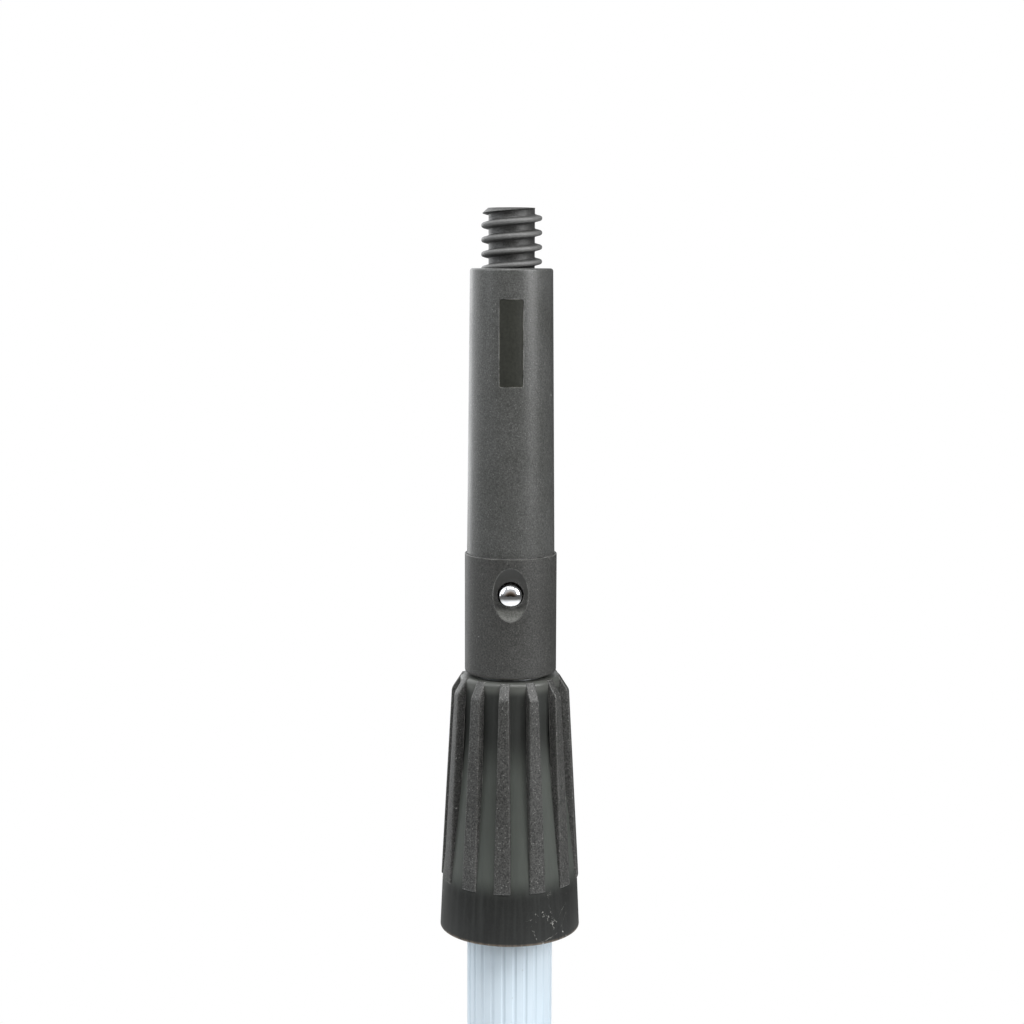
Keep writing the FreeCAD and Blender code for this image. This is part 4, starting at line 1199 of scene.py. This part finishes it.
# %% Tube
TUBE_R, TUBE_WALL = 15.5, 1.5
FLUTE_COUNT, FLUTE_R, FLUTE_DEPTH, FLUTE_TURN = 24, 0.95, 0.40, 6.7
STEPS_PER_FLUTE = 24
steps = FLUTE_COUNT * STEPS_PER_FLUTE
deselect()
bpy.ops.mesh.primitive_circle_add(
    vertices=steps, radius=TUBE_R * MM, fill_type="NOTHING", location=(0, 0, TUBE_FOOT * MM)
)
tube = bpy.context.object
tube.name = "fluted_tube"
bpy.ops.object.transform_apply(location=True, rotation=True, scale=True)
step_angle = math.tau / steps
flute_centre = TUBE_R - FLUTE_DEPTH + FLUTE_R
for column in range(STEPS_PER_FLUTE // 2):
    aside = flute_centre * math.sin(column * step_angle)
    along = flute_centre * math.cos(column * step_angle)
    if aside >= FLUTE_R or along - math.sqrt(FLUTE_R**2 - aside**2) >= TUBE_R:
        break
    flute_r = along - math.sqrt(FLUTE_R**2 - aside**2)

    def in_column(v, column=column):
        turned_by = math.atan2(v.co.y, v.co.x) / step_angle
        from_flute = (turned_by + STEPS_PER_FLUTE / 2) % STEPS_PER_FLUTE - STEPS_PER_FLUTE / 2
        return abs(abs(from_flute) - column) < 0.1

    count = choose(tube, "VERT", in_column)
    k = flute_r / TUBE_R
    bpy.ops.transform.resize(value=(k, k, 1), center_override=(0, 0, TUBE_FOOT * MM))
    print("flute column", column, "moved", count, "points to", round(flute_r, 2))
edit(tube, everything=True)
bpy.ops.mesh.extrude_edges_move(TRANSFORM_OT_translate={"value": (0, 0, (TUBE_TOP - TUBE_FOOT) * MM)})
face_outward(tube)
modify(tube, "SOLIDIFY", thickness=TUBE_WALL * MM, offset=-1.0)
place(tube, turn_z=FLUTE_TURN - 90.0)
done(tube, pale_tube, "lower_section", "tube_aluminium", "outer_tube", sharp=18.0)

# %% [markdown]
# ## Grip and foot
# The grip is a moulded rubber sleeve. Rings pressed into it in three groups keep a wet hand from
# slipping, and a bead at each end stops the hand. The foot cap is pushed into the tube. It stands on a
# ring, because a moulding with a flat base would rock.

# %% Grip
GRIP_R, BEAD_R, BEAD, GRIP_BORE_R = 17.3, 18.3, 6.0, 15.55
BAND_COUNT, BAND_PITCH, BAND_DEPTH = 6, 4.0, 0.7
GROUP_COUNT, GROUP_PITCH, GROUP_START, BEAD_SLOPE = 3, 36.0, 15.0, 1.0
bands = []
for group in range(GROUP_COUNT):
    for i in range(BAND_COUNT):
        z = GRIP_FOOT + GROUP_START + group * GROUP_PITCH + i * BAND_PITCH
        floor_r = GRIP_R - BAND_DEPTH
        bands += [(GRIP_R, z), (floor_r, z + 0.5), (floor_r, z + 1.5), (GRIP_R, z + 2.0)]
grip = turned("grip_sleeve", [
    (GRIP_BORE_R, GRIP_FOOT), (BEAD_R, GRIP_FOOT), (BEAD_R, GRIP_FOOT + BEAD),
    (GRIP_R, GRIP_FOOT + BEAD + BEAD_SLOPE), *bands, (GRIP_R, GRIP_TOP - BEAD - BEAD_SLOPE),
    (BEAD_R, GRIP_TOP - BEAD), (BEAD_R, GRIP_TOP), (GRIP_BORE_R, GRIP_TOP), (GRIP_BORE_R, GRIP_FOOT),
], steps=128, capped=False)
soften(grip, [(BEAD_R, GRIP_FOOT), (BEAD_R, GRIP_TOP)], width=0.8, segments=4)
soften(grip, [(BEAD_R, GRIP_FOOT + BEAD), (BEAD_R, GRIP_TOP - BEAD)], width=0.5, segments=3)
soften(grip, bands, width=0.2, segments=2)
done(grip, rubber_black, "lower_section", "grip_rubber", "hand_grip")

# %% Foot cap
FOOT_R, FOOT_EDGE, PLUG_R, PLUG_BORE_R, PLUG_TOP = 17.6, 1.2, 13.95, 11.55, 30.0
STANDING_RING_R = 12.6
foot = turned("foot_cap", [
    (PLUG_BORE_R, TUBE_FOOT), (PLUG_BORE_R, PLUG_TOP), (PLUG_R, PLUG_TOP), (PLUG_R, TUBE_FOOT),
    (FOOT_R, TUBE_FOOT), (FOOT_R, 0.0), (STANDING_RING_R, 0.0), (12.0, 0.7), (4.0, 0.9),
], steps=128)
soften(foot, [(FOOT_R, TUBE_FOOT), (FOOT_R, 0.0)], width=FOOT_EDGE, segments=5)
soften(foot, [(STANDING_RING_R, 0.0)], width=0.3, segments=2)
done(foot, cap_black, "lower_section", "cap_plastic", "end_cap")
